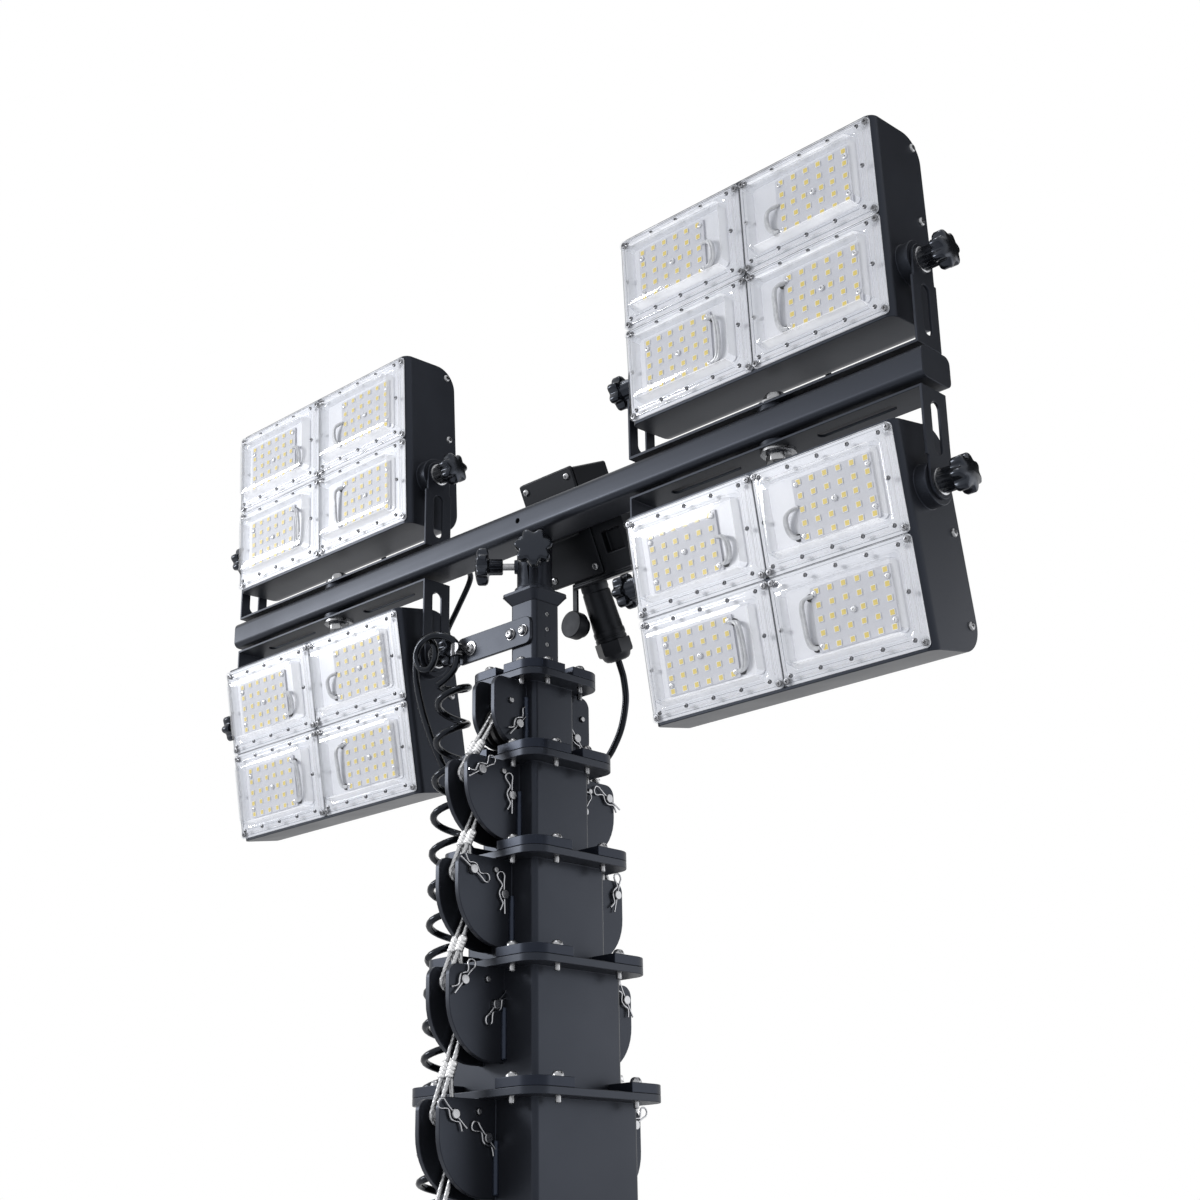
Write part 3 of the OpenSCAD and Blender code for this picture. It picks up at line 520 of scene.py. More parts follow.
# ---- Turning sleeve and its knobs ----
# A steel sleeve turns on the spigot and is clamped by two star knobs on studs.
# The knobs are moulded in glossy phenolic with seven lobes and a fluted neck.
coat(["head_sleeve"], powder_coat)
phenolic, tree, shader, place = new_material("glossy_black_phenolic")
cloud = noise(tree, place, 120.0, 3.0)
dull = spread(tree, cloud, 0.16, 0.3)
flow = relief(tree, cloud, 0.06, 0.0003)
settle(tree, shader, {"Base Color": linear("#0d0e10")}, {"Roughness": dull, "Normal": flow})
settle(tree, shader, {"Specular IOR Level": 0.6, "Specular Tint": linear("#d6e1f7")})


def star_knob(r, neck_r, neck_h, head_h):
    """A star knob on its own axis, with its foot at zero."""
    def flutes(a):
        return 1 - 0.07 * (0.5 - 0.5 * math.cos(12 * a))

    def lobes(depth):
        return lambda a: 1 - depth * (0.5 - 0.5 * math.cos(7 * a)) ** 1.3

    top = neck_h + head_h
    sides = 84
    neck = [ring(neck_r - 1.2, 0, sides, flutes), ring(neck_r, 1.2, sides, flutes),
            ring(neck_r, neck_h - 1.5, sides, flutes), ring(neck_r + 1, neck_h, sides)]
    outline = ((5, neck_h + 0.2, 0.14), (1.6, neck_h + 1.2, 0.19), (0, neck_h + 3.6, 0.24), (0, top - 3.4, 0.24),
               (0.8, top - 2, 0.23), (2.4, top - 1, 0.18), (5, top - 0.1, 0.12), (8.5, top + 0.7, 0.05))
    head = [ring(r - inset, z, sides, lobes(depth)) for inset, z, depth in outline]
    return loft(neck + head + [ring(0.4 * r, top + 1.5, sides), ring(0.1, top + 2.1, sides)])


knobs, studs = [], []
for turn in (-45, -135):
    spot = at(0, 0, BAR - 50, "Z", turn) @ at(0, 0, 0, "Y", 90)
    knobs.append(moved(star_knob(22, 9.4, 16, 14), spot @ at(0, 0, 36)))
    studs.append(moved(lathe([(4, 16.3), (4, 37)]), spot))
    studs.append(moved(lathe([(5.4, 16.3), (5.4, 20), (4.2, 20.6)]), spot))
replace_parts(piece("turn_knobs", knobs, phenolic, "head", 50), "head_knobs")
piece("turn_studs", studs, zinc, "head")

# ---- Crossbar, junction box, socket and plug ----
# A rectangular tube with rounded edges carries the lamps, and a moulded box hangs behind it.
# The lead's round plug goes up into a socket at the box's foot, beside a rubber cap on a strap.
coat(["crossbar"], powder_coat, 0.6)
moulded, tree, shader, place = new_material("fine_textured_black_abs")
spark = noise(tree, place, 1500.0)
cloud = noise(tree, place, 20.0, 3.0)
colour = shade(tree, cloud, "#0e0f12", "#16171a")
etched = relief(tree, spark, 0.3, 0.00012)
settle(tree, shader, {"Roughness": 0.4, "Specular IOR Level": 0.3, "Specular Tint": linear("#e2e9f7")},
       {"Base Color": colour, "Normal": etched})
coat(["junction_box", "socket_housing"], moulded, 1.6)
rubber, tree, shader, place = new_material("moulded_black_rubber")
bloom = noise(tree, place, 70.0, 5.0)
colour = shade(tree, bloom, "#0e0f11", "#15161a")
dull = spread(tree, bloom, 0.38, 0.6)
skin = relief(tree, bloom, 0.1, 0.0002)
settle(tree, shader, {"Specular IOR Level": 0.25, "Specular Tint": linear("#e2e9f7")},
       {"Base Color": colour, "Roughness": dull, "Normal": skin})
coat(["socket_cap"], rubber, 1.2)

box_place = at(0, 24.5, BAR + 12, "X", 25)
lid_x, lid_z = 10.5, -12
lid_corners = [(lid_x + x, lid_z + z) for x in (-33, 33) for z in (-54, 54)]
screws = [moved(pan_head(8.5, 2.2), box_place @ at(x, 2.4, z, "X", 90)) for x, z in lid_corners]
screws += [moved(pan_head(6.5, 2), at(52.5, y, BAR + z, "Y", 90)) for y, z in ((59, -9), (70, -29))]
piece("box_lid_screws", screws, zinc, "head")

plug_place = box_place @ at(17, 20.4, -84, "X", 180)
sleeve = [(16, 0), (16.2, 6), (15.6, 7), (15.6, 9), (16.4, 10), (17.4, 46), (17.6, 47), (17.6, 55), (18.2, 56),
          (18.6, 57), (18.6, 62), (18, 62.6), (18, 64), (18.6, 64.6), (18.6, 67.5), (18, 68.3)]
nut = [(17.6, 68.3), (18.4, 69.3), (18.4, 82), (17.6, 84.5)]
end = [(17, 86), (15.6, 89.5), (13, 92), (8.5, 93.2), (5.2, 93)]
rings = [ring(r, z, 48, shape) for part, shape in ((sleeve, None), (nut, hexagon), (end, None)) for r, z in part]
plug = [moved(loft(rings), plug_place)]
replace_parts(piece("lead_plug_moulded", plug, moulded, "head"), "lead_plug")

# ---- Lamp brackets, their bolts and the tilt knobs ----
# Steel strip bent into a U with slots, hung from or stood on the bar by one bolt each.
# Star knobs on both legs clamp a lamp at its tilt.
brackets = [f"bracket_{b}" for b in ("upper_left", "upper_right", "lower_left", "lower_right")]
coat(brackets, powder_coat, 0.6)
# A lamp's distance from the mast's middle, and its tilt axis's from the bar's.
LAMP_X, PIVOT = 357, 118


def flat_washer(r, h):
    return lathe([(r, -0.1), (r, h - 0.4), (r - 0.4, h), (4, h)])


def hex_nut(apothem, low, high):
    def bevel(a):
        return min(hexagon(a), 1.07)

    outline = ((low, bevel), (low + 1.2, hexagon), (high - 1.4, hexagon), (high, bevel))
    return loft([ring(apothem, z, 48, shape) for z, shape in outline] + [ring(0.6 * apothem, high, 48)])


bolts = []
for sx in (-1, 1):
    for up in (-1, 1):
        spot = at(sx * LAMP_X, 0, BAR + up * 25, "X", 0 if up > 0 else 180)
        bolts.append(moved(flat_washer(18.6, 3.3), spot))
        bolts.append(moved(hex_nut(11.4, 3.3, 12.4), spot))
        bolts.append(moved(lathe([(13, 3.2), (13.4, 3.8), (11.8, 5.2), (9, 5.4)]), spot))
        bolts.append(moved(lathe([(5.6, 12), (5.8, 12.4), (5.8, 15), (5, 16), (0.2, 16.2)]), spot))
piece("bracket_bolts", bolts, zinc, "head")

knobs, studs = [], []
for sx in (-1, 1):
    for up in (-1, 1):
        for s in (-1, 1):
            spot = at(sx * LAMP_X, 0, BAR + up * PIVOT, "Y", 90 * s) @ at(0, 0, 189.4)
            turned = spot @ Matrix.Rotation(0.3 * s + 0.7 * up + 0.9 * sx, 4, "Z")
            knobs.append(moved(star_knob(19.6, 12, 18, 15), turned))
            studs.append(moved(lathe([(13.5, -0.3), (13.5, 0.9), (12.9, 1.3), (5, 1.3)]), spot))
            studs.append(moved(lathe([(5, -6), (5, 0.2)]), spot))
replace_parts(piece("tilt_knobs_moulded", knobs, phenolic, "head", 50), "tilt_knobs")
piece("tilt_washers", studs, zinc, "head")

# ---- Lamps ----
# A pressed aluminium housing, powder coated, with four clear lens modules on its front.
# Each module is one polycarbonate moulding over a white board of yellow phosphor LEDs.
lamps = {"upper_left": (-1, 1), "upper_right": (1, 1), "lower_left": (-1, -1), "lower_right": (1, -1)}
coat([f"lamp_{name}_housing" for name in lamps], powder_coat, 0.8)


def surface(tree, first, second, settings={}, links={}):
    """Makes a material of two shaders, their share given as for a node."""
    both = add(tree, "MixShader", settings, {**links, 1: first.outputs[0], 2: second.outputs[0]})
    tree.links.new(both.outputs[0], tree.nodes["Material Output"].inputs["Surface"])


polycarbonate, tree, shader, place = new_material("clear_moulded_polycarbonate")
tree.nodes.remove(shader)
# Only the outer faces mirror, since light passes through a thin wall almost unchanged.
ripple = noise(tree, place, 45.0)
waves = relief(tree, ripple, 0.05, 0.0006)
edge = add(tree, "LayerWeight", {"Blend": 0.35}, {"Normal": waves})
tint = shade(tree, edge.outputs["Facing"], "#ffffff", "#eef0f3")
through = add(tree, "BsdfTransparent", {}, {"Color": tint})
glint = add(tree, "BsdfGlossy", {"Roughness": 0.06}, {"Normal": waves})
fresnel = add(tree, "Fresnel", {"IOR": 1.58}, {"Normal": waves})
inside = add(tree, "NewGeometry").outputs["Backfacing"]
outer = add(tree, "Math", {"operation": "SUBTRACT", 0: 1.0}, {1: inside})
mirror = add(tree, "Math", {"operation": "MULTIPLY"}, {0: fresnel.outputs[0], 1: outer.outputs[0]})
surface(tree, through, glint, {}, {0: mirror.outputs[0]})

# Its steep moulded walls scatter light and look milky.
milky, tree, shader, place = new_material("milky_polycarbonate_wall")
flow = noise(tree, place, 12.0)
share = spread(tree, flow, 0.25, 0.5)
through = add(tree, "BsdfTransparent", {"Color": (1, 1, 1, 1)})
settle(tree, shader, {"Base Color": linear("#f4f5f8"), "Roughness": 0.12})
surface(tree, through, shader, {}, {0: share})

# Wide walls facing up are whiter and glow faintly: a painted highlight, not a lamp.
painted_glow, tree, shader, place = new_material("polycarbonate_wall_painted_glow")
flow = noise(tree, place, 40.0, 3.0)
share = spread(tree, flow, 0.45, 0.98, 0.35, 0.65)
through = add(tree, "BsdfTransparent", {"Color": (1, 1, 1, 1)})
settle(tree, shader, {"Base Color": linear("#f4f5f8"), "Roughness": 0.12})
settle(tree, shader, {"Emission Color": (1, 1, 1, 1), "Emission Strength": 0.35})
surface(tree, through, shader, {}, {0: share})

# Narrow ridges facing down or left are tinted grey: painted shade.
shaded, tree, shader, place = new_material("polycarbonate_wall_in_shade")
tree.nodes.remove(shader)
flow = noise(tree, place, 12.0)
tint = shade(tree, flow, "#a9abb0", "#cfd1d5")
through = add(tree, "BsdfTransparent", {}, {"Color": tint})
glint = add(tree, "BsdfGlossy", {"Roughness": 0.1})
surface(tree, through, glint, {0: 0.06})

tray, tree, shader, place = new_material("bright_aluminium_sheet")
rolled = noise(tree, place, 30.0, 4.0)
colour = shade(tree, rolled, "#d2d4da", "#e2e3e8")
settle(tree, shader, {"Metallic": 0.1, "Roughness": 0.35}, {"Base Color": colour})

board, tree, shader, place = new_material("white_solder_mask_board")
cloud = noise(tree, place, 60.0, 3.0)
colour = shade(tree, cloud, "#c2c4cb", "#d0d1d8")
settle(tree, shader, {"Roughness": 0.4}, {"Base Color": colour})

led_case, tree, shader, place = new_material("white_led_case")
cloud = noise(tree, place, 400.0)
colour = shade(tree, cloud, "#eceef2", "#f7f8fa")
settle(tree, shader, {"Roughness": 0.35}, {"Base Color": colour})

phosphor, tree, shader, place = new_material("yellow_phosphor_gel")
cloud = noise(tree, place, 500.0)
colour = shade(tree, cloud, "#dcc04c", "#ead67c")
settle(tree, shader, {"Roughness": 0.3}, {"Base Color": colour})

wire_sheath, tree, shader, place = new_material("grey_silicone_wire")
cloud = noise(tree, place, 200.0)
colour = shade(tree, cloud, "#a4a6ab", "#e9eaec")
settle(tree, shader, {"Roughness": 0.25}, {"Base Color": colour})


def rounded(a, b, r, z, steps=5):
    """The outline of a rounded oblong of half sides a and b."""
    corners = ((a - r, b - r, 0), (r - a, b - r, 90), (r - a, r - b, 180), (a - r, r - b, 270))
    turns = [(x, y, math.radians(from_ + 90 * k / steps)) for x, y, from_ in corners for k in range(steps + 1)]
    return [(x + r * math.cos(t), y + r * math.sin(t), z) for x, y, t in turns]


def slab(a, b, r, low, high, edge=0.3, steps=3):
    """A rounded plate with broken edges."""
    whole, inset = (a, b, r), (a - edge, b - edge, max(r - edge, 0.05))
    return loft([rounded(*inset, low, steps), rounded(*whole, low + edge, steps),
                 rounded(*whole, high - edge, steps), rounded(*inset, high, steps)])


# The lens's half sides, corner radius and height, from its inner face round the flange to its front.
LENS = [(40, 18, 3, 16.6), (63.5, 33.5, 3.5, 16), (65.3, 35.3, 4, 15), (66.5, 36.5, 4.5, 0.7), (84.5, 54, 4, 0.7),
        (84.5, 54, 4, 2.6), (84, 53.5, 4, 3), (81.6, 51.3, 5, 3), (81.2, 50.9, 5, 3.7), (80.2, 50, 5.5, 3.7),
        (79.8, 49.8, 6, 3), (78, 49, 8.5, 3.2), (77.2, 48.2, 9, 5.4), (76.5, 47.5, 9, 6), (75.2, 46.2, 8.5, 6.1),
        (74.8, 45.8, 8.5, 5.5), (73.8, 44.8, 8, 5.5), (73.4, 44.4, 8, 6.2), (72.5, 43.5, 8, 6.3),
        (71, 42, 7, 4.4), (69.5, 40.5, 6.5, 4), (68.6, 38.9, 5.5, 10), (67.5, 37.5, 5, 16.5), (66.6, 36.6, 4.6, 17.6),
        (65, 35, 4.5, 18.1), (60, 30, 4, 18.4), (40, 18, 3, 18.8)]
lens = loft([rounded(*one) for one in LENS])
corners = [at(x * 80.1, y * 48.9, 3) for x in (-1, 1) for y in (-1, 1)]
corner_head = [ring(r, z) for r, z in ((3.5, -0.4), (3.5, 0.5), (3.1, 0.9), (2.4, 1))]
corner_head = loft(corner_head + [cross(1.9, 0.5, 1), cross(1.5, 0.35, -0.2)])
corner_screws = [moved(corner_head, spot) for spot in corners]
boss = hoop([(3.9, -0.3), (4, 1), (4.4, 1.5), (5, 1.5), (5.4, 1), (5.6, -0.3)])
rim_spots = [(x, y) for x in (-72, -36, 0, 36, 72) for y in (-45.4, 45.4)] + [(-74.4, 0), (74.4, 0)]
small_head = lathe([(2.3, -0.4), (2.3, 0.8), (1.9, 1.4), (1.1, 1.6), (0.8, 0.7)], 12)
rim_screws = [moved(small_head, at(x, y, 6.2)) for x, y in rim_spots]
led_spots = [(12.1 + 16 * (k - 2.5), y) for k in range(6) for y in (27.4, 13.7, -13.7, -27.4)]
led_spots += [(x, 0) for x in (-28, -14.4, -0.7, 21.8, 35.7, 51.9)]
led_cases = [moved(slab(3.1, 3.1, 0.5, 3.5, 4.3, 0.15, 1), at(x, y, 0)) for x, y in led_spots]
led_gels = [moved(slab(2.5, 2.5, 0.3, 4.2, 4.45, 0.08, 1), at(x, y, 0)) for x, y in led_spots]
board_corners = ((-31, 26), (-31, -26), (53.5, 21), (53.5, -21))
board_screws = [moved(pan_head(6, 1.6), at(x, y, 3.6)) for x, y in board_corners]
board_screws.append(moved(pan_head(6.5, 1.8), at(10.6, 0, 4)))
# The wires' way from the board down into the tray, in the upper and in the lower modules.
WIRES = {1: [(-35, 3, 3.5), (-40, 2, 5.5), (-45, 0, 7), (-48.5, -5, 7), (-49.2, -13, 6), (-47.5, -20, 5),
             (-43, -25, 4), (-38, -26, 3)],
         -1: [(-35, 23, 3.5), (-40, 23, 5.5), (-45, 20, 7), (-47.2, 13, 7), (-47.6, 0, 6), (-47.4, -13, 5.5),
              (-45.5, -22, 5), (-42, -26, 4), (-37, -27, 3)]}
# Rubber grommets where the wires enter the tray; their dark colour also stands for the shade in the holes.
GROMMETS_AS_HOLE_SHADE = {1: [(-39, -25.5)], -1: [(-39, -26.5), (-37.5, 23)]}
grommet_as_hole_shade = lathe([(4, 0.4), (4, 3), (3.2, 4), (1.6, 4)], 16)

dark_screw, tree, shader, place = new_material("blackened_screw_steel")
cloud = noise(tree, place, 500.0)
dull = spread(tree, cloud, 0.25, 0.4)
settle(tree, shader, {"Base Color": linear("#77787c"), "Metallic": 1.0}, {"Roughness": dull})

bright_screw, tree, shader, place = new_material("nickel_plated_screw_steel")
cloud = noise(tree, place, 500.0)
dull = spread(tree, cloud, 0.2, 0.35)
settle(tree, shader, {"Base Color": linear("#d9dadd"), "Metallic": 0.7}, {"Roughness": dull})

# By row, upper and lower: the lamps' tilt in degrees and the screws on their sides.
LAMP_TILT = {1: 2.5, -1: 10}
SIDE_SCREWS = {1: ((30, 98), (32, 14)), -1: ((32, 5), (32, -86))}
# From a lamp's tilt axis to its middle, and on to its gland.
LAMP_OFF, GLAND_OFF = 47, 22
# Where the walls' materials stand in a lens module's list.
MILKY, PAINTED_GLOW, SHADED = 1, 2, 3
LAMP_PIECES = {
    "lens_screws": (bright_screw, "zinc_steel"),
    "rim_screws": (dark_screw, "zinc_steel"),
    "trays": (tray, "clear_lens"),
    "boards": (board, "clear_lens"),
    "led_cases": (led_case, "clear_lens"),
    "led_gels": (phosphor, "clear_lens"),
    "wires": (wire_sheath, "clear_lens"),
    "wire_grommets_as_hole_shade": (rubber, "clear_lens"),
}
for name, (sx, up) in lamps.items():
    body = f"lamp_{name}"
    lamp = at(sx * LAMP_X, 0, BAR + up * PIVOT, "X", LAMP_TILT[up]) @ at(0, 0, up * LAMP_OFF)
    lenses, parts = [], {what: [] for what in LAMP_PIECES}
    for ix in (-1, 1):
        for iz in (-1, 1):
            spot = lamp @ at(ix * 85, -36.5, iz * 54.5, "X", 90)
            turned = spot @ Matrix.Scale(ix, 4, (1, 0, 0))
            wire = run(smooth_line(WIRES[iz], 5), 3.6, 10)
            lenses += [moved(lens, spot)] + [moved(boss, spot @ corner) for corner in corners]
            parts["lens_screws"] += [moved(s, turned) for s in board_screws]
            parts["rim_screws"] += [moved(s, spot) for s in corner_screws + rim_screws]
            parts["boards"].append(moved(slab(47, 32, 1.5, 1.5, 3.5), turned @ at(11, 0, 0)))
            parts["led_cases"] += [moved(s, turned) for s in led_cases]
            parts["led_gels"] += [moved(s, turned) for s in led_gels]
            parts["wires"] += [moved(wire, turned), moved(wire, turned @ at(2.6, 0.4, 0.8))]
            parts["wire_grommets_as_hole_shade"] += [moved(grommet_as_hole_shade, turned @ at(x, y, 0)) for x, y in GROMMETS_AS_HOLE_SHADE[iz]]
            parts["trays"] += [moved(slab(65, 35, 4, 0.5, 1.6), spot),
                               moved(slab(84.2, 53.7, 4, -0.1, 0.6, 0.2), spot)]
    modules = piece(f"{body}_lens_modules", lenses, polycarbonate, body, 25)
    for finish in (milky, painted_glow, shaded):
        modules.data.materials.append(finish)
    # Steep walls are milky; wide ones facing up get the painted highlight, and narrow ones facing down or left get
    # painted shade.
    ahead, upward = lamp.to_3x3() @ Vector((0, -1, 0)), lamp.to_3x3() @ Vector((0, 0, 1))
    for face in modules.data.polygons:
        high, wide = face.normal.dot(upward), face.area > 2e-4
        if abs(face.normal.dot(ahead)) < 0.5 and face.area > 2e-5:
            face.material_index = MILKY
            if wide and high > 0.8:
                face.material_index = PAINTED_GLOW
            elif not wide and (high < -0.7 or face.normal.x < -0.7):
                face.material_index = SHADED
    modules.visible_shadow = False
    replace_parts(modules, f"{body}_lenses")
    for what, (finish, slot) in LAMP_PIECES.items():
        piece(f"{body}_{what}", parts[what], finish, body)
    heads = [moved(pan_head(9, 2.6), lamp @ at(s * 172.5, y, z, "Y", 90 * s))
             for s in (-1, 1) for y, z in SIDE_SCREWS[up]]
    piece(f"{body}_side_screws", heads, zinc, body)
    gland = lathe([(9, 0.2), (10.6, 0.8), (10.6, 8.4), (9.6, 9.2), (8.6, 9.4), (8.6, 12), (8, 13.4), (6, 15),
                   (3.7, 15.2), (3.7, 11)])
    gland = moved(gland, lamp @ at(sx * 11, 43.5, -up * (LAMP_OFF + GLAND_OFF), "X", -90))
    piece(f"{body}_gland", [gland], nylon, body)

# ---- Lamp leads ----
# Round rubber leads leave the bar through grommets and enter the lamps' glands from behind.


def cord(name, path, width, stiffness, a, b, start, end, far_end="object", lay="loose", sides=12):
    """A cord that rides on body a, or, when b is given, stays where it is made; start and end are not used."""
    made = piece(name, [run(path, width, sides)], cord_sheath, None, 60)
    if b:
        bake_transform(made)
    else:
        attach(made, a)
    return made


cord_sheath, tree, shader, place = new_material("glossy_polyurethane_sheath")
cloud = noise(tree, place, 80.0, 3.0)
dull = spread(tree, cloud, 0.1, 0.2)
skin = relief(tree, cloud, 0.08, 0.0003)
settle(tree, shader, {"Base Color": linear("#0d0e10")}, {"Roughness": dull, "Normal": skin})
settle(tree, shader, {"Specular IOR Level": 0.34, "Specular Tint": linear("#d6e1f7")})

UPPER_LEAD = [(-14, 24.2, 0), (-14, 38, 1), (-12, 54, 8), (-2, 74, 24), (7, 88, 46), (11, 90, 68)]
LOWER_LEAD = [(-206, 24.2, -3), (-205.8, 34, -3.2), (-197, 45, -11), (-170, 50, -38), (-142, 58, -58),
              (-110, 72, -78), (-70, 86, -98), (-32, 98, -114), (-6, 106, -118)]
grommets = []
bushing = lathe([(7, -0.5), (7, 1.6), (6, 2.6), (5, 3), (4.6, 6), (3.6, 9), (3.4, 9)])
for name, (sx, up) in lamps.items():
    tilt, low = math.radians(LAMP_TILT[up]), -GLAND_OFF * up
    behind = [(11, y * math.cos(tilt) - low * math.sin(tilt),
               up * PIVOT + y * math.sin(tilt) + low * math.cos(tilt)) for y in (67.5, 57.5, 47.5)]
    points = [(sx * (LAMP_X + x), y, BAR + z) for x, y, z in (UPPER_LEAD if up > 0 else LOWER_LEAD) + behind]
    if up > 0:
        ends = (0, 0, BAR + 8), (0, 0, BAR + 90)
    else:
        ends = (sx * (LAMP_X - 170), 0, BAR), (sx * (LAMP_X - 20), 0, BAR)
    made = cord(f"lamp_lead_{name}_cord", smooth_line(points, 6), 7, "medium", "head", f"lamp_{name}", *ends)
    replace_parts(made, f"lamp_lead_{name}")
    x, y, z = points[0]
    grommets.append(moved(bushing, at(x, 24, z, "X", -90)))
piece("lead_grommets", grommets, rubber, "head")

# ---- Lead and curly cord ----
# A black polyurethane cord leaves the plug, loops round behind the mast and drops from the clip.
# Below that it is wound as a spring, down to a shelf and gland.
LEAD = [(17, 117.9, -140.1), (17, 122.1, -149.1), (17, 126.3, -161), (16.3, 129.5, -184.5), (8, 131.5, -212),
        (-5, 133, -232), (-22, 134, -248), (-52, 131, -268), (-80, 120, -286), (-103, 100, -294), (-119, 73, -298),
        (-127, 42, -297), (-129, 14, -289), (-134, -8, -270), (-143, -18, -244), (-154, -24, -212),
        (-162, -29, -180), (-165, -33, -152), (-162, -36, -129), (-154, -38, -114), (-141, -39, -110),
        (-128, -40, -119), (-122.5, -41, -136), (-130, -43, -150), (-143, -46, -147), (-148, -48, -133),
        (-139, -49, -119), (-122, -46, -113), (-107, -38, -116), (-98, -32, -124), (-96, -31, -134),
        (-96.5, -31.5, -149), (-100, -34, -159), (-107.5, -37.5, -167), (-117, -40.1, -172)]
way = smooth_line([(x, y, BAR + z) for x, y, z in LEAD], 5)
lead = cord("mast_lead", way, 8, "medium", "head", "section_1",
            (17, 118, BAR - 140), (-115, 22, BAR - 140), lay="hanging")
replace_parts(lead, "lead")


def eased(x):
    """From 0 to 1, slow at both ends."""
    x = min(max(x, 0), 1)
    return x * x * (3 - 2 * x)


COIL_TOP, COIL_FOOT, COIL_X, COIL_Y = BAR - 172, 240, -134, -20
COIL_R, STEPS = 17.4, 18
# Down to this depth the turns hang drawn apart by the weight below them.
DRAWN = 380
coil, depth, turn = [], 0.0, 0.0
while depth < COIL_TOP - COIL_FOOT:
    pitch = 46 - 0.03 * min(depth, DRAWN) - 20 * eased((depth - DRAWN) / 420)
    pitch *= 0.1 + 0.9 * eased((turn - 0.3) / 0.4)
    r = COIL_R * eased((COIL_TOP - COIL_FOOT - depth) / 14.8)
    slant = min(depth / (COIL_TOP - 1512), 1)
    a = 3.913 - math.tau * turn
    coil.append((-104.5 - 29.5 * slant + r * math.cos(a), -28 + 8 * slant + r * math.sin(a), COIL_TOP - depth))
    turn += 1 / STEPS
    depth += pitch / STEPS
coil.append((COIL_X, COIL_Y, COIL_FOOT))


def nearest(z):
    """The number of the coil's point nearest to a height."""
    return min(range(len(coil)), key=lambda i: abs(coil[i][2] - z))


# One length of the coil for each stage of the mast.
share = (COIL_TOP - COIL_FOOT) / 6
parts = [0] + [nearest(COIL_TOP - share * k) for k in range(1, 6)] + [len(coil) - 1]
for k in range(6):
    some = coil[parts[k] : parts[k + 1] + 1]
    made = cord(f"curly_cord_{k + 1}", some, 8, "limp", BODY[k + 1], BODY[k + 2],
                (0, 0, some[0][2]), (0, 0, some[-1][2]), lay="hanging", sides=10)
    if k == 0:
        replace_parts(made, "curly_cord")
tail = [(COIL_X, COIL_Y, COIL_FOOT), (COIL_X, COIL_Y, 219), (COIL_X, COIL_Y, 200), (COIL_X + 3, COIL_Y, 176),
        (COIL_X + 12, COIL_Y, 158), (COIL_X + 24, COIL_Y, 150), (-96.8, COIL_Y, 150)]
cord("curly_cord_tail", smooth_line(tail, 6), 8, "limp", "base", None, None, None)
coat(["cord_shelf"], powder_coat)
shelf_gland = lathe([(10, -16), (11.4, -15), (11.4, -3), (10, -2), (10, 0)], 24, hexagon)
tube_gland = lathe([(10, 0), (11.4, 0.8), (11.4, 9), (10.4, 10), (8, 12), (5, 14), (4.2, 14)])
glands = [moved(shelf_gland, at(COIL_X, COIL_Y, 235)), moved(tube_gland, at(-84.5, COIL_Y, 150, "Y", -90))]
piece("cord_glands", glands, nylon, "base")

# ---- Floor, light and camera ----
# A plain pale floor in a white room, lit by a wide, flat softbox at the front left.
# A small light hangs overhead, and a panel fills in from behind on the right.
floor_paint, tree, shader, place = new_material("matt_white_floor")
cloud = noise(tree, place, 3.0, 3.0)
colour = shade(tree, cloud, "#ececec", "#f2f2f2")
settle(tree, shader, {"Roughness": 0.9}, {"Base Color": colour})
mesh = bpy.data.meshes.new("floor")
mesh.from_pydata([(-9, -9, 0), (9, -9, 0), (9, 9, 0), (-9, 9, 0)], [], [(0, 1, 2, 3)])
mesh.materials.append(floor_paint)
floor = bpy.data.objects.new("floor", mesh)
bpy.context.scene.collection.objects.link(floor)

world = bpy.data.worlds.new("white_room")
bpy.context.scene.world = world
world.use_nodes = True
tree = world.node_tree
seen = add(tree, "LightPath")
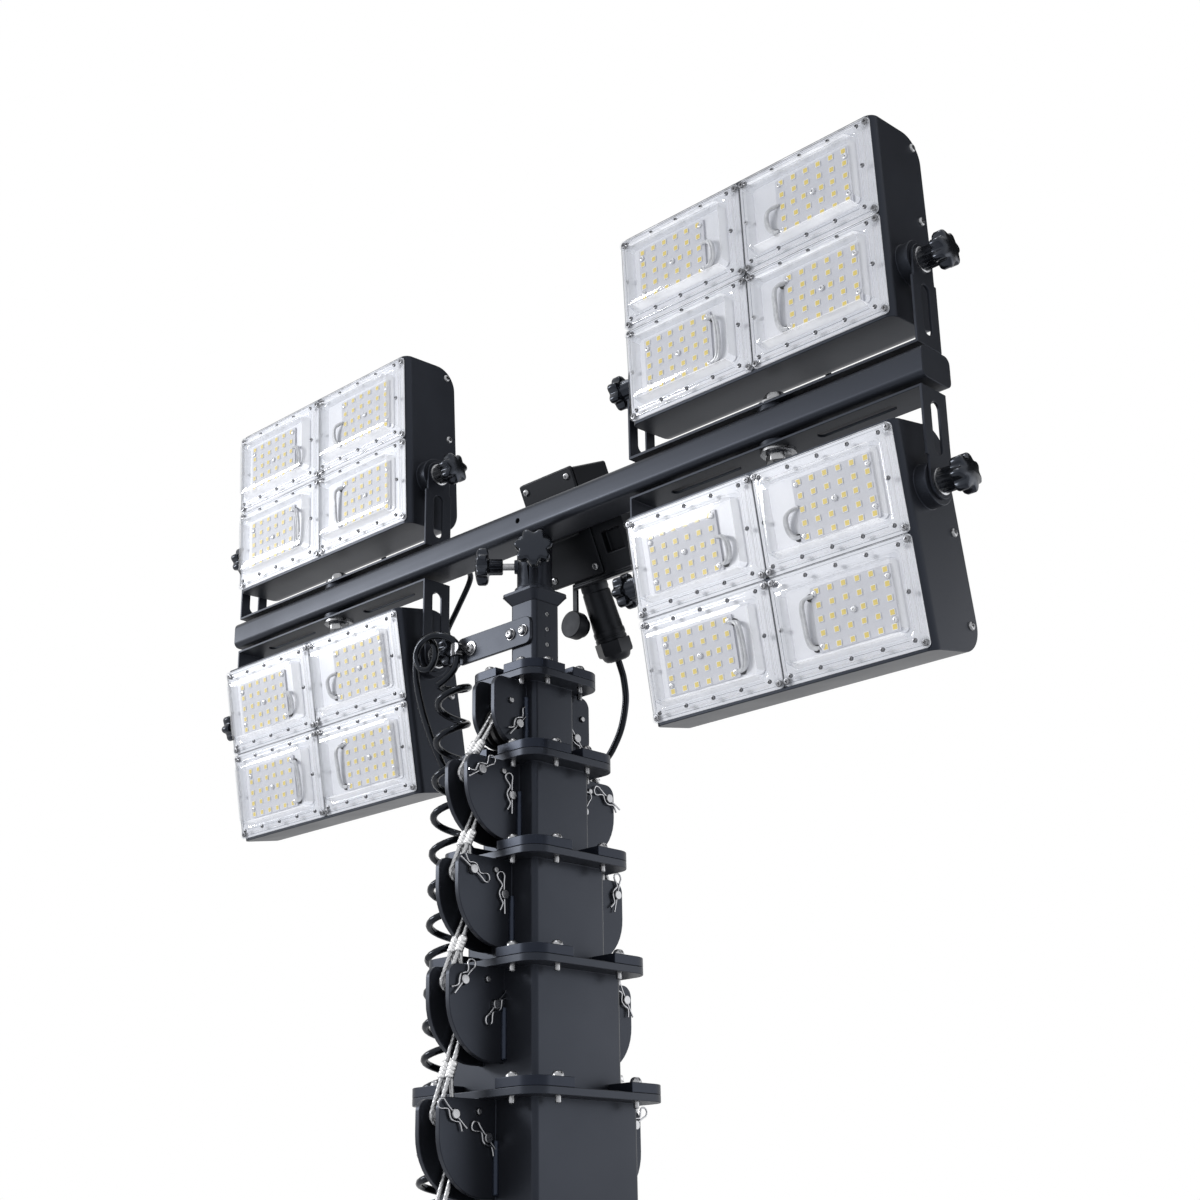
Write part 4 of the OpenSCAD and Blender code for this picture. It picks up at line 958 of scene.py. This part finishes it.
# The room is white where it is seen or mirrored, and dimmer where it lights things.
by_camera, by_gloss, through = [seen.outputs[f"Is {ray} Ray"] for ray in ("Camera", "Glossy", "Transmission")]
either = add(tree, "Math", {"operation": "MAXIMUM"}, {0: by_camera, 1: by_gloss})
shown = add(tree, "Math", {"operation": "MAXIMUM"}, {0: either.outputs[0], 1: through})
white = add(tree, "Background", {"Color": (1, 1, 1, 1), "Strength": 1.0})
soft = add(tree, "Background", {"Color": (0.97, 0.98, 1, 1), "Strength": 0.62})
both = add(tree, "MixShader", {}, {0: shown.outputs[0], 1: soft.outputs[0], 2: white.outputs[0]})
tree.links.new(both.outputs[0], tree.nodes["World Output"].inputs["Surface"])


def softbox(name, where, target, width, height, power):
    """A rectangular area light at a place, facing a target."""
    light = bpy.data.lights.new(name, "AREA")
    light.shape = "RECTANGLE"
    light.size, light.size_y, light.energy = width, height, power
    made = bpy.data.objects.new(name, light)
    made.location = where
    made.rotation_euler = (Vector(target) - Vector(where)).to_track_quat("-Z", "Y").to_euler()
    bpy.context.scene.collection.objects.link(made)


softbox("key_softbox", (-3.2, -3.0, 3.2), (-2.05, 0, 2.2), 2.1, 0.72, 108)
softbox("small_high_light", (-0.25, -0.9, 5.0), (0, 0, 2.1), 0.4, 0.4, 12)
softbox("side_panel", (2.5, 2.4, 1.9), (0, 0, 2.0), 2.4, 2.0, 17)

# A black flag shows only in reflections, where it darkens what faces up and back.
mesh = bpy.data.meshes.new("black_flag")
mesh.from_pydata([(-0.5, 2.9, 3.4), (5, 2.9, 3.4), (5, 2.9, 6.4), (-0.5, 2.9, 6.4)], [], [(0, 1, 2, 3)])
cloth, tree, shader, place = new_material("black_flag_cloth")
settle(tree, shader, {"Base Color": linear("#101114"), "Roughness": 1.0})
mesh.materials.append(cloth)
flag = bpy.data.objects.new("black_flag", mesh)
bpy.context.scene.collection.objects.link(flag)
flag.visible_camera = flag.visible_diffuse = flag.visible_shadow = flag.visible_transmission = False

camera = bpy.data.objects.new("camera", bpy.data.cameras.new("camera"))
camera.data.lens = 55.242
camera.data.sensor_width = 36
camera.location = (1.40586, -1.35747, 1.45867)
camera.rotation_euler = (math.radians(110.086), math.radians(0.911), math.radians(44.176))
bpy.context.scene.collection.objects.link(camera)
bpy.context.scene.camera = camera
bpy.context.scene.view_settings.view_transform = "Standard"
